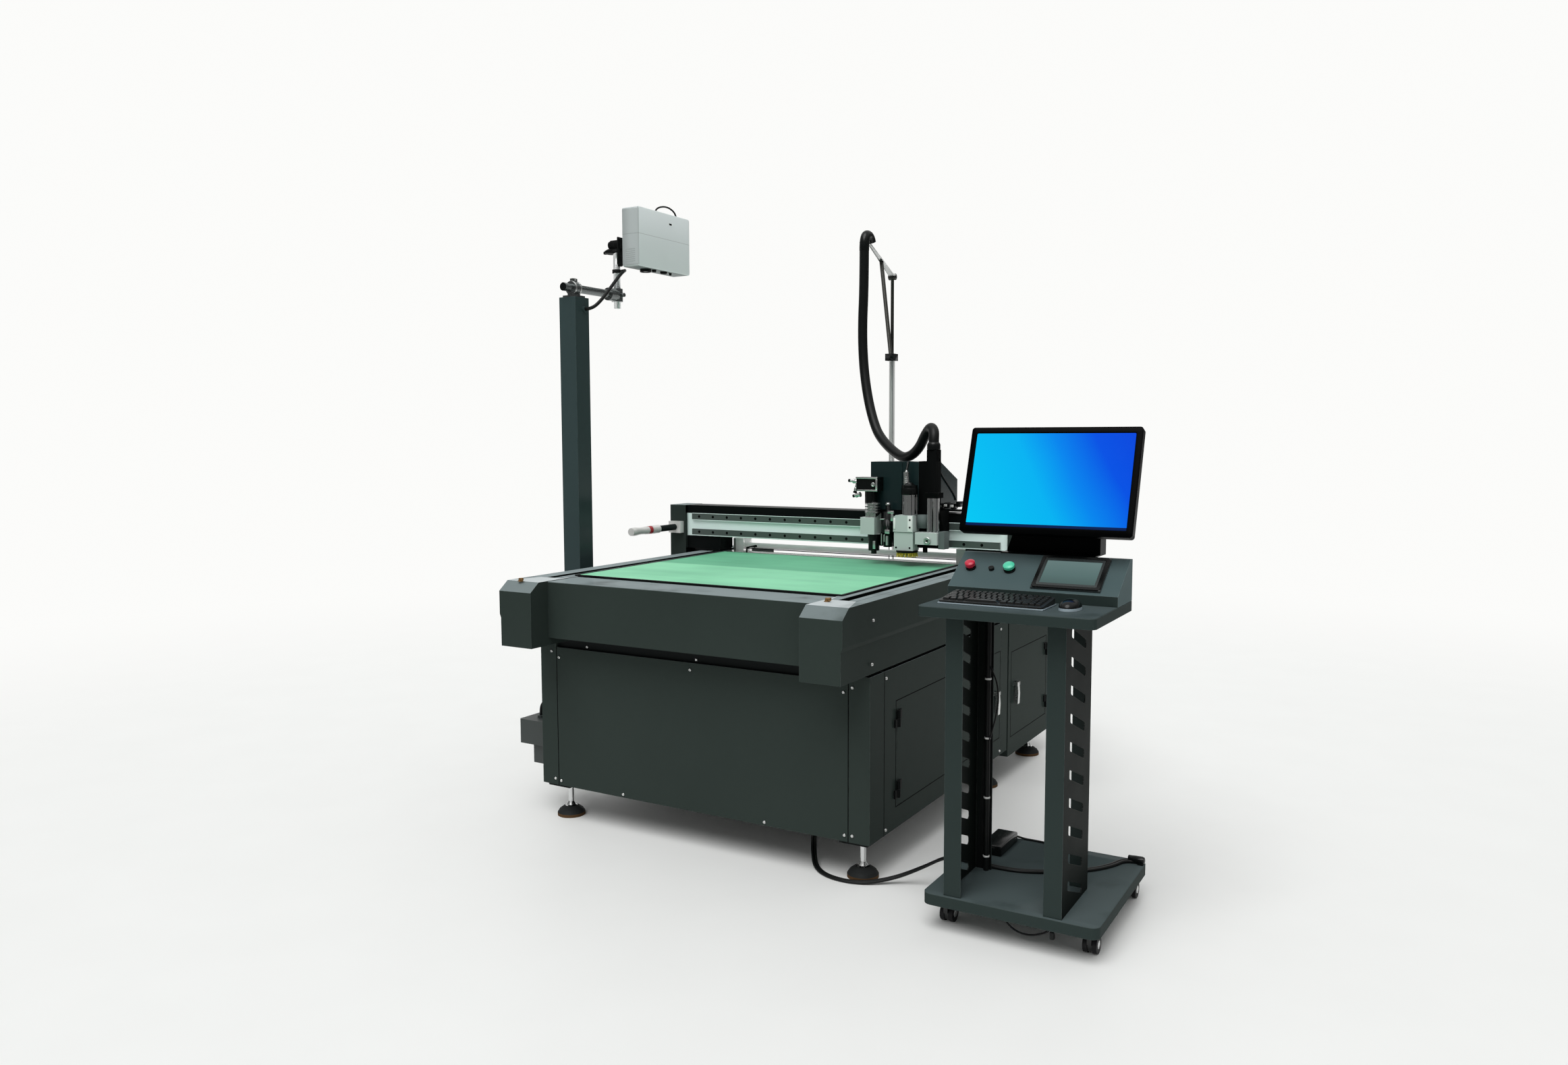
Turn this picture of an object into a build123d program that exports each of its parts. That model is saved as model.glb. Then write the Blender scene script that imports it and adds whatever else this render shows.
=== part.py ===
"""Digital flatbed cutter with its projector column, hose boom and control console.

Millimetres, +Z up, front of the machine towards -Y. The origin is on the floor, at the middle
of the whole outfit. Machine pieces are drawn from the machine's centre line, the front of its
rail covers and the floor; console pieces from the front left corner of the console's base.
"""

import math
import os

from build123d import *

os.makedirs("parts", exist_ok=True)

# Sheet metal and running gaps
SHEET = 2.0
FOLD = 15.0
SEAM = 2.0
WELD_GAP = 0.2
RUNNING = 0.05
SLIDING = 0.3
SIDES = (-1, 1)

# Cabinet under the bed
CABINET_HALF = 734.0
CABINET_FRONT = 216.5
CABINET_D = 1378.5
CABINET_BOTTOM = 147.0
CABINET_H = 583.0
RECESS_H = 22.0
COLUMN_FACE = 80.0
COLUMN_SIDE = 111.0
COLUMN_SIDE_REAR = 80.0
LEG_W = 70.0
LEG_D = 95.0
LEG_D_REAR = 64.0
TUBE = 60.0
TUBE_WALL = 4.0
FOOT_PLATE = 12.0
CABINET_BACK = CABINET_FRONT + CABINET_D
CABINET_TOP = CABINET_BOTTOM + CABINET_H

# Side door and cabinet door
DOOR_GAP = 2.0
HINGE_R = 7.0
HINGE_L = 60.0
HINGE_LEAF = 26.0
HINGE_INSET = 62.0
PIN_R = 3.5
LATCH_W = 24.0
LATCH_H = 100.0
LATCH_T = 12.0
LATCH_INSET = 54.0
LATCH_PIN_R = 3.0
DOOR_Y0 = CABINET_FRONT + 218.5
DOOR_Y1 = CABINET_BACK - 97
DOOR_Z0 = CABINET_BOTTOM + 80
DOOR_Z1 = CABINET_TOP - 123

# Rear cabinet
REAR_GAP = 17.0
REAR_D = 568.0
REAR_DROP = 35.0
REAR_Y0 = CABINET_BACK + REAR_GAP
REAR_Y1 = REAR_Y0 + REAR_D
REAR_BOTTOM = CABINET_BOTTOM - REAR_DROP
REAR_DOOR_Y0 = REAR_Y0 + 35
REAR_DOOR_Y1 = REAR_Y1 - 40
REAR_DOOR_Z0 = REAR_BOTTOM + 85
REAR_DOOR_Z1 = CABINET_TOP - 152

# Levelling feet
FOOT_INSET = 68.0
FOOT_PAD_R = 56.0
FOOT_STUD_R = 11.0
FOOT_X = CABINET_HALF - FOOT_INSET
FOOT_FRONT_Y = CABINET_FRONT + 87.5
FOOT_MIDDLE_Y = CABINET_BACK - 83
FOOT_REAR_Y = REAR_Y1 - 88

# Rail covers, front beam and bed
CAP_W = 159.0
COVER_W = 144.0
COVER_TALL = 249.0
COVER_WALL = 3.0
CAP_L = 274.0
CAP_CHAMFER_Y = 46.0
CAP_CHAMFER_Z = 36.0
STEP_IN = 6.0
TOP_STRIP = 46.0
SLOT_FRONT = 188.0
BEAM_FRONT = 96.0
BEAM_D = 174.0
BED_SKIN = 6.0
MAT_L = 1054.0
MAT_T = 4.0
REAR_STRIP = 80.0
COVER_HALF = CABINET_HALF + 7
COVER_INNER = COVER_HALF - COVER_W
CAP_INNER = COVER_HALF - CAP_W
COVER_L = CABINET_BACK + 216
COVER_BOTTOM = CABINET_TOP + 11
COVER_TOP = COVER_BOTTOM + COVER_TALL
STEP_Z0 = COVER_BOTTOM + 109
STEP_Z1 = STEP_Z0 + 15
BEAM_BACK = BEAM_FRONT + BEAM_D
BEAM_BOTTOM = COVER_BOTTOM + 28
BEAM_TOP = COVER_TOP - 2
BED_HALF = COVER_INNER - 4
BED_FRONT = BEAM_BACK + 7
BED_DECK = COVER_TOP - 60
MAT_FRONT = BED_FRONT + 9
MAT_BACK = MAT_FRONT + MAT_L
BED_STEP = MAT_BACK + REAR_STRIP + 5

# Feed roller behind the mat
ROLLER_R = 38.0
SHAFT_R = 10.0
BRACKET_W = 44.0
BRACKET_L = 76.0
ROLLER_Y = BED_STEP + 57
ROLLER_Z = COVER_TOP + 25
BRACKET_X1 = BED_HALF - 1
BRACKET_X0 = BRACKET_X1 - BRACKET_W
BRACKET_TOP = ROLLER_Z + 35
ROLLER_HALF = BRACKET_X0 - 8

# Rails of the long axis
PEDESTAL_W = 70.0
PEDESTAL_H = 119.0
RAIL_W = 20.0
RAIL_H = 20.0
RAIL_MARGIN = 24.0
PEDESTAL_X = COVER_HALF - 93
PEDESTAL_TOP = COVER_BOTTOM + PEDESTAL_H
RAIL_TOP = PEDESTAL_TOP + RAIL_H

# Gantry
GANTRY_D = 110.0
GANTRY_H = 109.0
GANTRY_WALL = 8.0
COVER_H = 39.0
X_RAIL_H = 28.0
X_RAIL_T = 12.0
RISER_W = 36.0
SADDLE_W = 44.0
SADDLE_L = 90.0
SADDLE_H = 32.0
END_W = 90.0
SENSOR_R = 15.0
SENSOR_TIP_R = 18.0
SENSOR_L = 340.0
SENSOR_TIP_L = 44.0
SENSOR_COLLAR_W = 70.0
SENSOR_COLLAR_H = 56.0
SENSOR_COLLAR_T = 30.0
GANTRY_Y = MAT_BACK + 16
GANTRY_BACK = GANTRY_Y + GANTRY_D
GANTRY_HALF = COVER_HALF + 74
GANTRY_BOTTOM = COVER_TOP + 72
GANTRY_TOP = GANTRY_BOTTOM + GANTRY_H
COVER_LID = GANTRY_TOP + COVER_H
X_RAIL_HALF = GANTRY_HALF - 35
X_RAIL_LOW = GANTRY_BOTTOM + 6
X_RAIL_HIGH = GANTRY_TOP - X_RAIL_H - 1
LEG_INNER = PEDESTAL_X - 23
BRIDGE_BOTTOM = COVER_TOP + 12
END_FRONT = GANTRY_Y - 16
END_BACK = GANTRY_BACK + 18
END_BOTTOM = COVER_TOP - 130
SENSOR_Z = GANTRY_BOTTOM + 41

# Cutting head
HEAD_X0 = 240.0
HEAD_W = 320.0
HEAD_D = 82.0
PLATE_T = 20.0
HOUSING_H = 204.0
HOUSING_WALL = 3.0
GROOVE_W = 30.0
GROOVE_D = 6.0
SHELF_GAP = 4.0
SHELF_T = 6.0
HOOD_D = 240.0
HOOD_FLAT = 42.0
HOOD_DROP = 83.0
BLOCK_L = 70.0
BLOCK_H = 44.0
HOSE_BLOCK_W = 58.0
HOSE_BLOCK_H = 48.0
HOSE_R = 19.0
HEAD_X1 = HEAD_X0 + HEAD_W
PLATE_Y = GANTRY_Y - 46
BLOCK_Y = PLATE_Y + PLATE_T
HEAD_FRONT = PLATE_Y - HEAD_D
HEAD_BOTTOM = GANTRY_BOTTOM + 18
HOUSING_X1 = HEAD_X1 - 97
HOUSING_BOTTOM = COVER_LID + 18
HOUSING_TOP = HOUSING_BOTTOM + HOUSING_H
SHELF_Z = COVER_LID + SHELF_GAP
SHELF_TOP = SHELF_Z + SHELF_T
SHELF_X0 = HEAD_X0 + 22
SHELF_X1 = HEAD_X1 - 60
HOOD_BACK = BLOCK_Y + HOOD_D
HOOD_KNEE = BLOCK_Y + HOOD_FLAT
HOOD_LOW = HOUSING_TOP - HOOD_DROP
CABLE_BOX_X1 = HEAD_X1 - 9
CABLE_BOX_TOP = HOUSING_TOP + 3
HOSE_BLOCK_TOP = CABLE_BOX_TOP + HOSE_BLOCK_H
HOSE_X = HEAD_X1 - 40
HOSE_Y = HEAD_FRONT + 24

# Tools on the head, all hung on one front plane and measured up from the beam's underside
TOOL_D = 66.0
RING_R = 47.0
RING_BORE = 19.0
RING_H = 29.0
LEFT_X = HEAD_X0 + 22
CENTRE_X = HEAD_X0 + 194
RIGHT_X = HEAD_X1 - 20
TOOL_BACK = HEAD_FRONT - 2
TOOL_FACE = TOOL_BACK - TOOL_D
TOOL_Y = TOOL_BACK - TOOL_D / 2
BACK_FIT = HEAD_FRONT - SLIDING
TOOL_Z = GANTRY_BOTTOM
GUARD_H = 56.0
GUARD_Z = TOOL_Z + 94
REGULATOR_R = 28.0
REGULATOR_X = (LEFT_X + 38 + CENTRE_X - 56) / 2
RING_Z1 = TOOL_Z
RING_Z0 = RING_Z1 - RING_H

# Hose pole and boom
POLE_R = 14.0
POLE_H = 1199.0
UPPER_R = 8.0
UPPER_H = 387.0
BOOM_REACH = 310.0
BOOM_LIFT = 165.0
BRACE_R = 9.5
BOOM_W = 26.0
BOOM_T = 9.0
POLE_Y = REAR_Y0 + 340
COLLAR_Z = CABINET_TOP + POLE_H
JOINT_Z = COLLAR_Z + UPPER_H
TIP_Y = POLE_Y - BOOM_REACH
TIP_Z = JOINT_Z + BOOM_LIFT
BRACE_Y = POLE_Y - 0.365 * BOOM_REACH
BRACE_Z = JOINT_Z + 0.375 * BOOM_LIFT

# Projector column
MAST_Y = 710.0
MAST = 90.0
MAST_WALL = 4.0
MAST_TOP = 2148.0
MAST_PLATE = 200.0
MAST_PLATE_T = 12.0
ANCHOR_PITCH = 150.0
ANCHOR_R = 7.0
TIE_Z = (250.0, 650.0)
TIE_H = 60.0
TIE_T = 8.0
ARM_R = 18.0
ARM_L = 345.0
ROD_R = 16.0
ROD_L = 310.0
PROJECTOR_T = 90.0
PROJECTOR_L = 400.0
PROJECTOR_H = 263.0
TILT_PIN_R = 6.0
MAST_X = -(GANTRY_HALF + END_W + 48)
MAST_FACE = MAST_X + MAST / 2
ARM_Z = MAST_TOP + 42
ARM_FRONT = MAST_Y - 70
ARM_BACK = ARM_FRONT + ARM_L
ROD_Y = ARM_BACK + ROD_R + 10
ROD_BOTTOM = ARM_Z - 60
ROD_TOP = ROD_BOTTOM + ROD_L
TILT_X = MAST_X + 60
TILT_Z = ROD_TOP - 20
PROJECTOR_X0 = TILT_X + 15
PROJECTOR_X1 = PROJECTOR_X0 + PROJECTOR_T
PROJECTOR_Y0 = ROD_Y - 51
PROJECTOR_Y1 = PROJECTOR_Y0 + PROJECTOR_L
PROJECTOR_Z0 = TILT_Z - 112
PROJECTOR_Z1 = PROJECTOR_Z0 + PROJECTOR_H

# Junction box on the cabinet's left side
BOX_W = 146.0
BOX_L = 160.0
BOX_H = 100.0
BOX_Y0 = CABINET_FRONT + 23.5
BOX_Y1 = BOX_Y0 + BOX_L
BOX_Z0 = CABINET_BOTTOM + 138
BOX_Z1 = BOX_Z0 + BOX_H

# Console
CONSOLE_X = 1027.0
CONSOLE_Y = 10.0
CONSOLE_W = 535.0
BASE_D = 600.0
BASE_OUT = 8.0
BASE_ROUND = 30.0
BASE_Z0 = 87.0
BASE_T = 37.0
POST_W = 56.0
POST_D = 272.0
POST_LEFT = 62.0
POST_WALL = 3.0
DESK_FRONT = -82.0
DESK_D = 417.0
DESK_TOP = 1035.0
DESK_T = 32.0
DESK_ROUND = 22.0
LIP_H = 31.0
SLOPE_RUN = 147.0
SLOPE_RISE = 97.0
STOP_U = 47.0
START_U = 176.0
BUZZER_U = 117.0
BUTTON_W = 95.0
STOP_R = 16.0
START_R = 18.0
HMI_U = 373.0
HMI_W = 214.0
HMI_H = 156.0
KEYBOARD_U = 201.0
KEYBOARD_W = 324.0
KEYBOARD_D = 130.0
MOUSE_U = 424.0
MOUSE_L = 108.0
MOUSE_W = 64.0
MOUSE_H = 34.0
CASTER_INSET_U = 40.0
CASTER_FRONT = 80.0
CASTER_REAR = 40.0
CASTER_TRAIL = 24.0
WHEEL_R = 28.0
WHEEL_W = 14.0
AXLE_R = 4.0
STEM_R = 7.0
SOCKET_D = 20.0
BASE_Z1 = BASE_Z0 + BASE_T
POST_RIGHT = CONSOLE_W - 158
DESK_BACK = DESK_FRONT + DESK_D
SLOPE_Y = DESK_BACK - 23
SLOPE_Z = DESK_TOP + LIP_H + SLOPE_RISE
LIP_Y = SLOPE_Y - SLOPE_RUN
LIP_Z = DESK_TOP + LIP_H
KEYBOARD_V = DESK_FRONT + 74
MOUSE_V = DESK_FRONT + 144

# Monitor on its bracket
MONITOR_U = 283.0
MONITOR_W = 548.0
MONITOR_H = 350.0
MONITOR_T = 28.0
MONITOR_TILT = 19.0
NECK_W = 288.0
NECK_T = 4.0
NECK_FLARE = 18.0
GUSSET_D = 66.0
GUSSET_H = 52.0
TILT_BACK = 52.0
MONITOR_PIN_R = 6.0
MONITOR_V = DESK_BACK - 33
MONITOR_Z = SLOPE_Z + 234

# Place of the machine and the console round the origin
REACH_LEFT = -MAST_X + MAST_PLATE / 2
REACH_RIGHT = CONSOLE_X + MONITOR_U + MONITOR_W / 2
BED_X = (REACH_LEFT - REACH_RIGHT) / 2
FRONT_Y = -(CONSOLE_Y + DESK_FRONT + REAR_Y1) / 2
MACHINE = (BED_X, FRONT_Y, 0)
TOP = Plane(MACHINE)
SIDE = Plane(MACHINE, x_dir=(0, 1, 0), z_dir=(1, 0, 0))
FRONT = Plane(MACHINE, x_dir=(1, 0, 0), z_dir=(0, -1, 0))
CORNER = (BED_X + CONSOLE_X, FRONT_Y + CONSOLE_Y, 0)
DESK = Plane(CORNER)
DESK_SIDE = Plane(CORNER, x_dir=(0, 1, 0), z_dir=(1, 0, 0))
DESK_FACE = Plane(CORNER, x_dir=(1, 0, 0), z_dir=(0, -1, 0))

# Lines of the frame inside the sheets
FRAME_FACE = CABINET_HALF - FOLD
FRAME_FRONT = CABINET_FRONT + FOLD
FRAME_BACK = CABINET_BACK - FOLD


def block(x0, x1, y0, y1, z0, z1, mode=Mode.ADD):
    """A rectangular block between two corners."""
    with Locations(((x0 + x1) / 2, (y0 + y1) / 2, (z0 + z1) / 2)):
        Box(abs(x1 - x0), y1 - y0, z1 - z0, mode=mode)


def rod_x(x, y, z, radius, length, mode=Mode.ADD):
    """A round bar along X, centred on a point."""
    with Locations((x, y, z)):
        Cylinder(radius, length, rotation=(0, 90, 0), mode=mode)


def rod_y(x, y, z, radius, length, mode=Mode.ADD):
    """A round bar along Y, centred on a point."""
    with Locations((x, y, z)):
        Cylinder(radius, length, rotation=(90, 0, 0), mode=mode)


def rod_z(x, y, z0, z1, radius, mode=Mode.ADD):
    """An upright round bar between two heights."""
    with Locations((x, y, (z0 + z1) / 2)):
        Cylinder(radius, z1 - z0, mode=mode)


def tube_x(x0, x1, y, z, size, wall):
    """A square tube along X, open at its ends."""
    block(x0, x1, y - size / 2, y + size / 2, z - size / 2, z + size / 2)
    half = size / 2 - wall
    block(x0, x1, y - half, y + half, z - half, z + half, Mode.SUBTRACT)


def tube_y(x, y0, y1, z, size, wall):
    """A square tube along Y, open at its ends."""
    block(x - size / 2, x + size / 2, y0, y1, z - size / 2, z + size / 2)
    half = size / 2 - wall
    block(x - half, x + half, y0, y1, z - half, z + half, Mode.SUBTRACT)


def bend_radii(points):
    """The largest radius that the two runs at each corner of a cord's route allow."""
    places = [Vector(p) for p in points]
    runs = [b - a for a, b in zip(places, places[1:])]
    radii = []
    for run, following in zip(runs, runs[1:]):
        half_turn = math.radians(run.get_angle(following)) / 2
        radii.append(0.45 * min(run.length, following.length) / math.tan(half_turn))
    return radii


def cord(points, radius, name):
    """A round cord along straight runs joined by tangent arcs, drawn in the machine's place."""
    placed = [Vector(p) + Vector(MACHINE) for p in points]
    radii = bend_radii(placed)
    with BuildLine() as route:
        FilletPolyline(*placed, radius=radii)
    start = Plane(placed[0], z_dir=placed[1] - placed[0])
    with BuildSketch(start) as section:
        Circle(radius)
    sweep(section.sketch, path=route.line)
    print(name, "bends", [round(r) for r in radii], "length", round(route.wire().length))


# Glands where cables leave the sheet metal
GLAND_R = 14.0
GLAND_H = 10.0
FLOOR_CABLE_X = 432.0
FLOOR_CABLE_Y = CABINET_FRONT + 155.5
JUNCTION_CABLE_X = -CABINET_HALF - 84
JUNCTION_CABLE_Y = BOX_Y0 + 60
JUNCTION_CABLE_Z = BOX_Z1 + 62
PROJECTOR_CABLE_Y = MAST_Y + 12
PROJECTOR_CABLE_Z = MAST_TOP - 50
CLIP_Z = TILT_Z - 122
CLIP_R = ROD_R + 5

# Base frame: welded square tube, with thick plates for the feet under its legs
LEG_X = FRAME_FACE - LEG_W / 2
FRONT_LEG_Y1 = FRAME_FRONT + LEG_D
REAR_LEG_Y0 = FRAME_BACK - LEG_D_REAR
LOW_TUBE_Z = CABINET_BOTTOM + TUBE / 2
HIGH_TUBE_Z = COVER_BOTTOM - TUBE / 2
PLATE_INNER = FOOT_X - FOOT_PAD_R
with BuildPart(TOP) as base_frame:
    for side in SIDES:
        for y0, y1 in ((FRAME_FRONT, FRONT_LEG_Y1), (REAR_LEG_Y0, FRAME_BACK)):
            leg = (side * LEG_X - LEG_W / 2, side * LEG_X + LEG_W / 2)
            block(*leg, y0, y1, CABINET_BOTTOM, COVER_BOTTOM)
            bore = (leg[0] + TUBE_WALL, leg[1] - TUBE_WALL, y0 + TUBE_WALL, y1 - TUBE_WALL)
            block(*bore, CABINET_BOTTOM, COVER_BOTTOM, Mode.SUBTRACT)
        long_x = side * (FRAME_FACE - TUBE / 2)
        for z in (LOW_TUBE_Z, HIGH_TUBE_Z):
            tube_y(long_x, FRONT_LEG_Y1 + WELD_GAP, REAR_LEG_Y0 - WELD_GAP, z, TUBE, TUBE_WALL)
        plates = (
            (FRAME_FRONT, FOOT_FRONT_Y + FOOT_PAD_R),
            (FOOT_MIDDLE_Y - FOOT_PAD_R, FRAME_BACK),
        )
        for y0, y1 in plates:
            low = CABINET_BOTTOM - FOOT_PLATE - WELD_GAP
            block(side * PLATE_INNER, side * FRAME_FACE, y0, y1, low, CABINET_BOTTOM - WELD_GAP)
    cross = LEG_X - LEG_W / 2 - WELD_GAP
    for y in (FRAME_FRONT + TUBE / 2, FRAME_BACK - TUBE / 2):
        for z in (LOW_TUBE_Z, HIGH_TUBE_Z):
            tube_x(-cross, cross, y, z, TUBE, TUBE_WALL)
    tray_x = (FLOOR_CABLE_X - 30, FLOOR_CABLE_X + 30)
    tray_y = (FRAME_FRONT + TUBE + WELD_GAP, FLOOR_CABLE_Y + 30)
    block(*tray_x, *tray_y, CABINET_BOTTOM, CABINET_BOTTOM + TUBE_WALL)
    rod_z(FLOOR_CABLE_X, FLOOR_CABLE_Y, CABINET_BOTTOM - GLAND_H, CABINET_BOTTOM, GLAND_R)
base_frame.part.label = "base_frame"
export_step(base_frame.part, "parts/base_frame.step")

# Corner columns, left side and back: folded sheet with returns that seat on the frame
PANEL_Y0 = CABINET_FRONT + COLUMN_SIDE + SEAM
PANEL_Y1 = CABINET_BACK - COLUMN_SIDE_REAR - SEAM
PANEL_HALF = CABINET_HALF - COLUMN_FACE - SEAM
PANEL_H = CABINET_TOP - CABINET_BOTTOM


def folded_sheet(points, height=PANEL_H):
    """An upright folded sheet from its outer line, with the thickness on the inner side."""
    with BuildSketch(TOP.offset(CABINET_BOTTOM)) as section:
        with BuildLine():
            Polyline(*points)
            offset(amount=SHEET, side=Side.LEFT)
        make_face()
    extrude(section.sketch, amount=height)


with BuildPart(TOP) as cabinet_panels:
    for side in SIDES:
        outer = side * CABINET_HALF
        inner = side * (CABINET_HALF - COLUMN_FACE)
        seat = side * FRAME_FACE
        for front, depth, way in (
            (CABINET_FRONT, COLUMN_SIDE, 1),
            (CABINET_BACK, COLUMN_SIDE_REAR, -1),
        ):
            line = (
                (inner, front + way * FOLD),
                (inner, front),
                (outer, front),
                (outer, front + way * depth),
                (seat, front + way * depth),
            )
            if side * way < 0:
                line = line[::-1]
            folded_sheet(line)
    left_tray = (
        (-FRAME_FACE, PANEL_Y0),
        (-CABINET_HALF, PANEL_Y0),
        (-CABINET_HALF, PANEL_Y1),
        (-FRAME_FACE, PANEL_Y1),
    )
    back_tray = (
        (-PANEL_HALF, FRAME_BACK),
        (-PANEL_HALF, CABINET_BACK),
        (PANEL_HALF, CABINET_BACK),
        (PANEL_HALF, FRAME_BACK),
    )
    folded_sheet(left_tray[::-1])
    folded_sheet(back_tray[::-1])
    gland_x = -CABINET_HALF - GLAND_H / 2
    rod_x(gland_x, JUNCTION_CABLE_Y, JUNCTION_CABLE_Z, GLAND_R, GLAND_H)
cabinet_panels.part.label = "cabinet_panels"
export_step(cabinet_panels.part, "parts/cabinet_panels.step")

# Front panel: one folded sheet between the front columns, with a dark recess left above it
with BuildPart() as front_panel:
    front_tray = (
        (-PANEL_HALF, FRAME_FRONT),
        (-PANEL_HALF, CABINET_FRONT),
        (PANEL_HALF, CABINET_FRONT),
        (PANEL_HALF, FRAME_FRONT),
    )
    folded_sheet(front_tray, PANEL_H - RECESS_H)
front_panel.part.label = "front_panel"
export_step(front_panel.part, "parts/front_panel.step")

# Right side panel: a folded sheet with the door's opening and the fixed hinge halves
HINGE_X = CABINET_HALF + HINGE_R + 1
HINGE_Y = DOOR_Y0 - DOOR_GAP / 2
HINGE_ZS = (DOOR_Z1 - HINGE_INSET, DOOR_Z0 + HINGE_INSET)
KNUCKLE = HINGE_L / 2 - SLIDING


def hinge_leaf(x, y, z0, z1, way):
    """A hinge leaf with its half of the knuckle; way is the side that the leaf reaches to."""
    root = y + way * (DOOR_GAP / 2 + SLIDING)
    tip = y + way * HINGE_LEAF
    block(CABINET_HALF, x, min(root, tip), max(root, tip), z0, z1)
    rod_z(x, y, z0, z1, HINGE_R)


with BuildPart(TOP) as right_side_panel:
    right_tray = (
        (FRAME_FACE, PANEL_Y0),
        (CABINET_HALF, PANEL_Y0),
        (CABINET_HALF, PANEL_Y1),
        (FRAME_FACE, PANEL_Y1),
    )
    folded_sheet(right_tray)
    opening_y = (DOOR_Y0 - DOOR_GAP, DOOR_Y1 + DOOR_GAP)
    opening_z = (DOOR_Z0 - DOOR_GAP, DOOR_Z1 + DOOR_GAP)
    block(CABINET_HALF - SHEET, CABINET_HALF, *opening_y, *opening_z, Mode.SUBTRACT)
    for z in HINGE_ZS:
        hinge_leaf(HINGE_X, HINGE_Y, z - HINGE_L / 2, z - SLIDING, -1)
        rod_z(HINGE_X, HINGE_Y, z - SLIDING, z + KNUCKLE, PIN_R)
right_side_panel.part.label = "right_side_panel"
export_step(right_side_panel.part, "parts/right_side_panel.step")

# Side door: a folded tray with its hinge halves and the seat of its handle
HANDLE_X = CABINET_HALF + LATCH_T
LATCH_Y = DOOR_Y1 - LATCH_INSET
LATCH_Z1 = (DOOR_Z0 + DOOR_Z1) / 2 + LATCH_H / 4


def door_tray(y0, y1, z0, z1):
    """A door leaf of folded sheet, its returns turned inwards."""
    block(CABINET_HALF - FOLD, CABINET_HALF, y0, y1, z0, z1)
    inside = (y0 + SHEET, y1 - SHEET, z0 + SHEET, z1 - SHEET)
    block(CABINET_HALF - FOLD, CABINET_HALF - SHEET, *inside, Mode.SUBTRACT)


def latch_seat(y, z_top):
    """The two ears and the pin that a swing handle hangs on."""
    for side in SIDES:
        ear = y + side * (LATCH_W / 2 + SLIDING)
        out = ear + side * 4
        block(CABINET_HALF, HANDLE_X + LATCH_T / 2, min(ear, out), max(ear, out), z_top - 16, z_top)
    rod_y(HANDLE_X - LATCH_T / 2 + 4, y, z_top - 8, LATCH_PIN_R, LATCH_W + 2)


def latch_lever(y, z_top):
    """A swing handle: a tapering bar with a bore for its pin and a finger hollow at its foot."""
    pin_x = HANDLE_X - LATCH_T / 2 + 4
    with BuildSketch(FRONT.offset(-(y - LATCH_W / 2))) as section:
        with BuildLine():
            Polyline(
                (pin_x - 6, z_top - 2),
                (pin_x + 6, z_top - 2),
                (pin_x + 10, z_top - LATCH_H / 2),
                (pin_x + 8, z_top - LATCH_H),
                (pin_x - 1, z_top - LATCH_H),
                (pin_x - 6, z_top - 20),
                close=True,
            )
        make_face()
    extrude(section.sketch, amount=-LATCH_W)
    rod_y(pin_x, y, z_top - 8, LATCH_PIN_R + RUNNING, LATCH_W, Mode.SUBTRACT)


with BuildPart(TOP) as side_door:
    door_tray(DOOR_Y0, DOOR_Y1, DOOR_Z0, DOOR_Z1)
    for z in HINGE_ZS:
        hinge_leaf(HINGE_X, HINGE_Y, z + SLIDING, z + HINGE_L / 2, 1)
        rod_z(HINGE_X, HINGE_Y, z + SLIDING, z + KNUCKLE + SLIDING, PIN_R + RUNNING, Mode.SUBTRACT)
    latch_seat(LATCH_Y, LATCH_Z1)
side_door.part.label = "side_door"
export_step(side_door.part, "parts/side_door.step")

with BuildPart(TOP) as side_latch:
    latch_lever(LATCH_Y, LATCH_Z1)
side_latch.part.label = "side_latch"
export_step(side_latch.part, "parts/side_latch.step")

# Levelling feet: a broad pad under a dome, a stud and a lock nut
def levelling_foot(x, y, stud_top):
    """One foot, turned about its own stud."""
    centre = (BED_X + x, FRONT_Y + y, 0)
    with BuildSketch(Plane(centre, x_dir=(1, 0, 0), z_dir=(0, -1, 0))) as section:
        with BuildLine():
            Polyline(
                (0, 0),
                (FOOT_PAD_R, 0),
                (FOOT_PAD_R, 12),
                (FOOT_PAD_R * 0.86, 24),
                (FOOT_PAD_R * 0.56, 36),
                (FOOT_STUD_R + 7, 42),
                (FOOT_STUD_R, 56),
                (FOOT_STUD_R, stud_top - 14),
                (FOOT_STUD_R + 9, stud_top - 14),
                (FOOT_STUD_R + 9, stud_top),
                (0, stud_top),
                close=True,
            )
        make_face()
    revolve(section.sketch, axis=Axis(centre, (0, 0, 1)))


PLATE_UNDERSIDE = CABINET_BOTTOM - FOOT_PLATE - WELD_GAP
with BuildPart() as levelling_feet:
    for side in SIDES:
        levelling_foot(side * FOOT_X, FOOT_FRONT_Y, PLATE_UNDERSIDE)
        levelling_foot(side * FOOT_X, FOOT_MIDDLE_Y, PLATE_UNDERSIDE)
        levelling_foot(side * FOOT_X, FOOT_REAR_Y, REAR_BOTTOM)
levelling_feet.part.label = "levelling_feet"
export_step(levelling_feet.part, "parts/levelling_feet.step")

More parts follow.
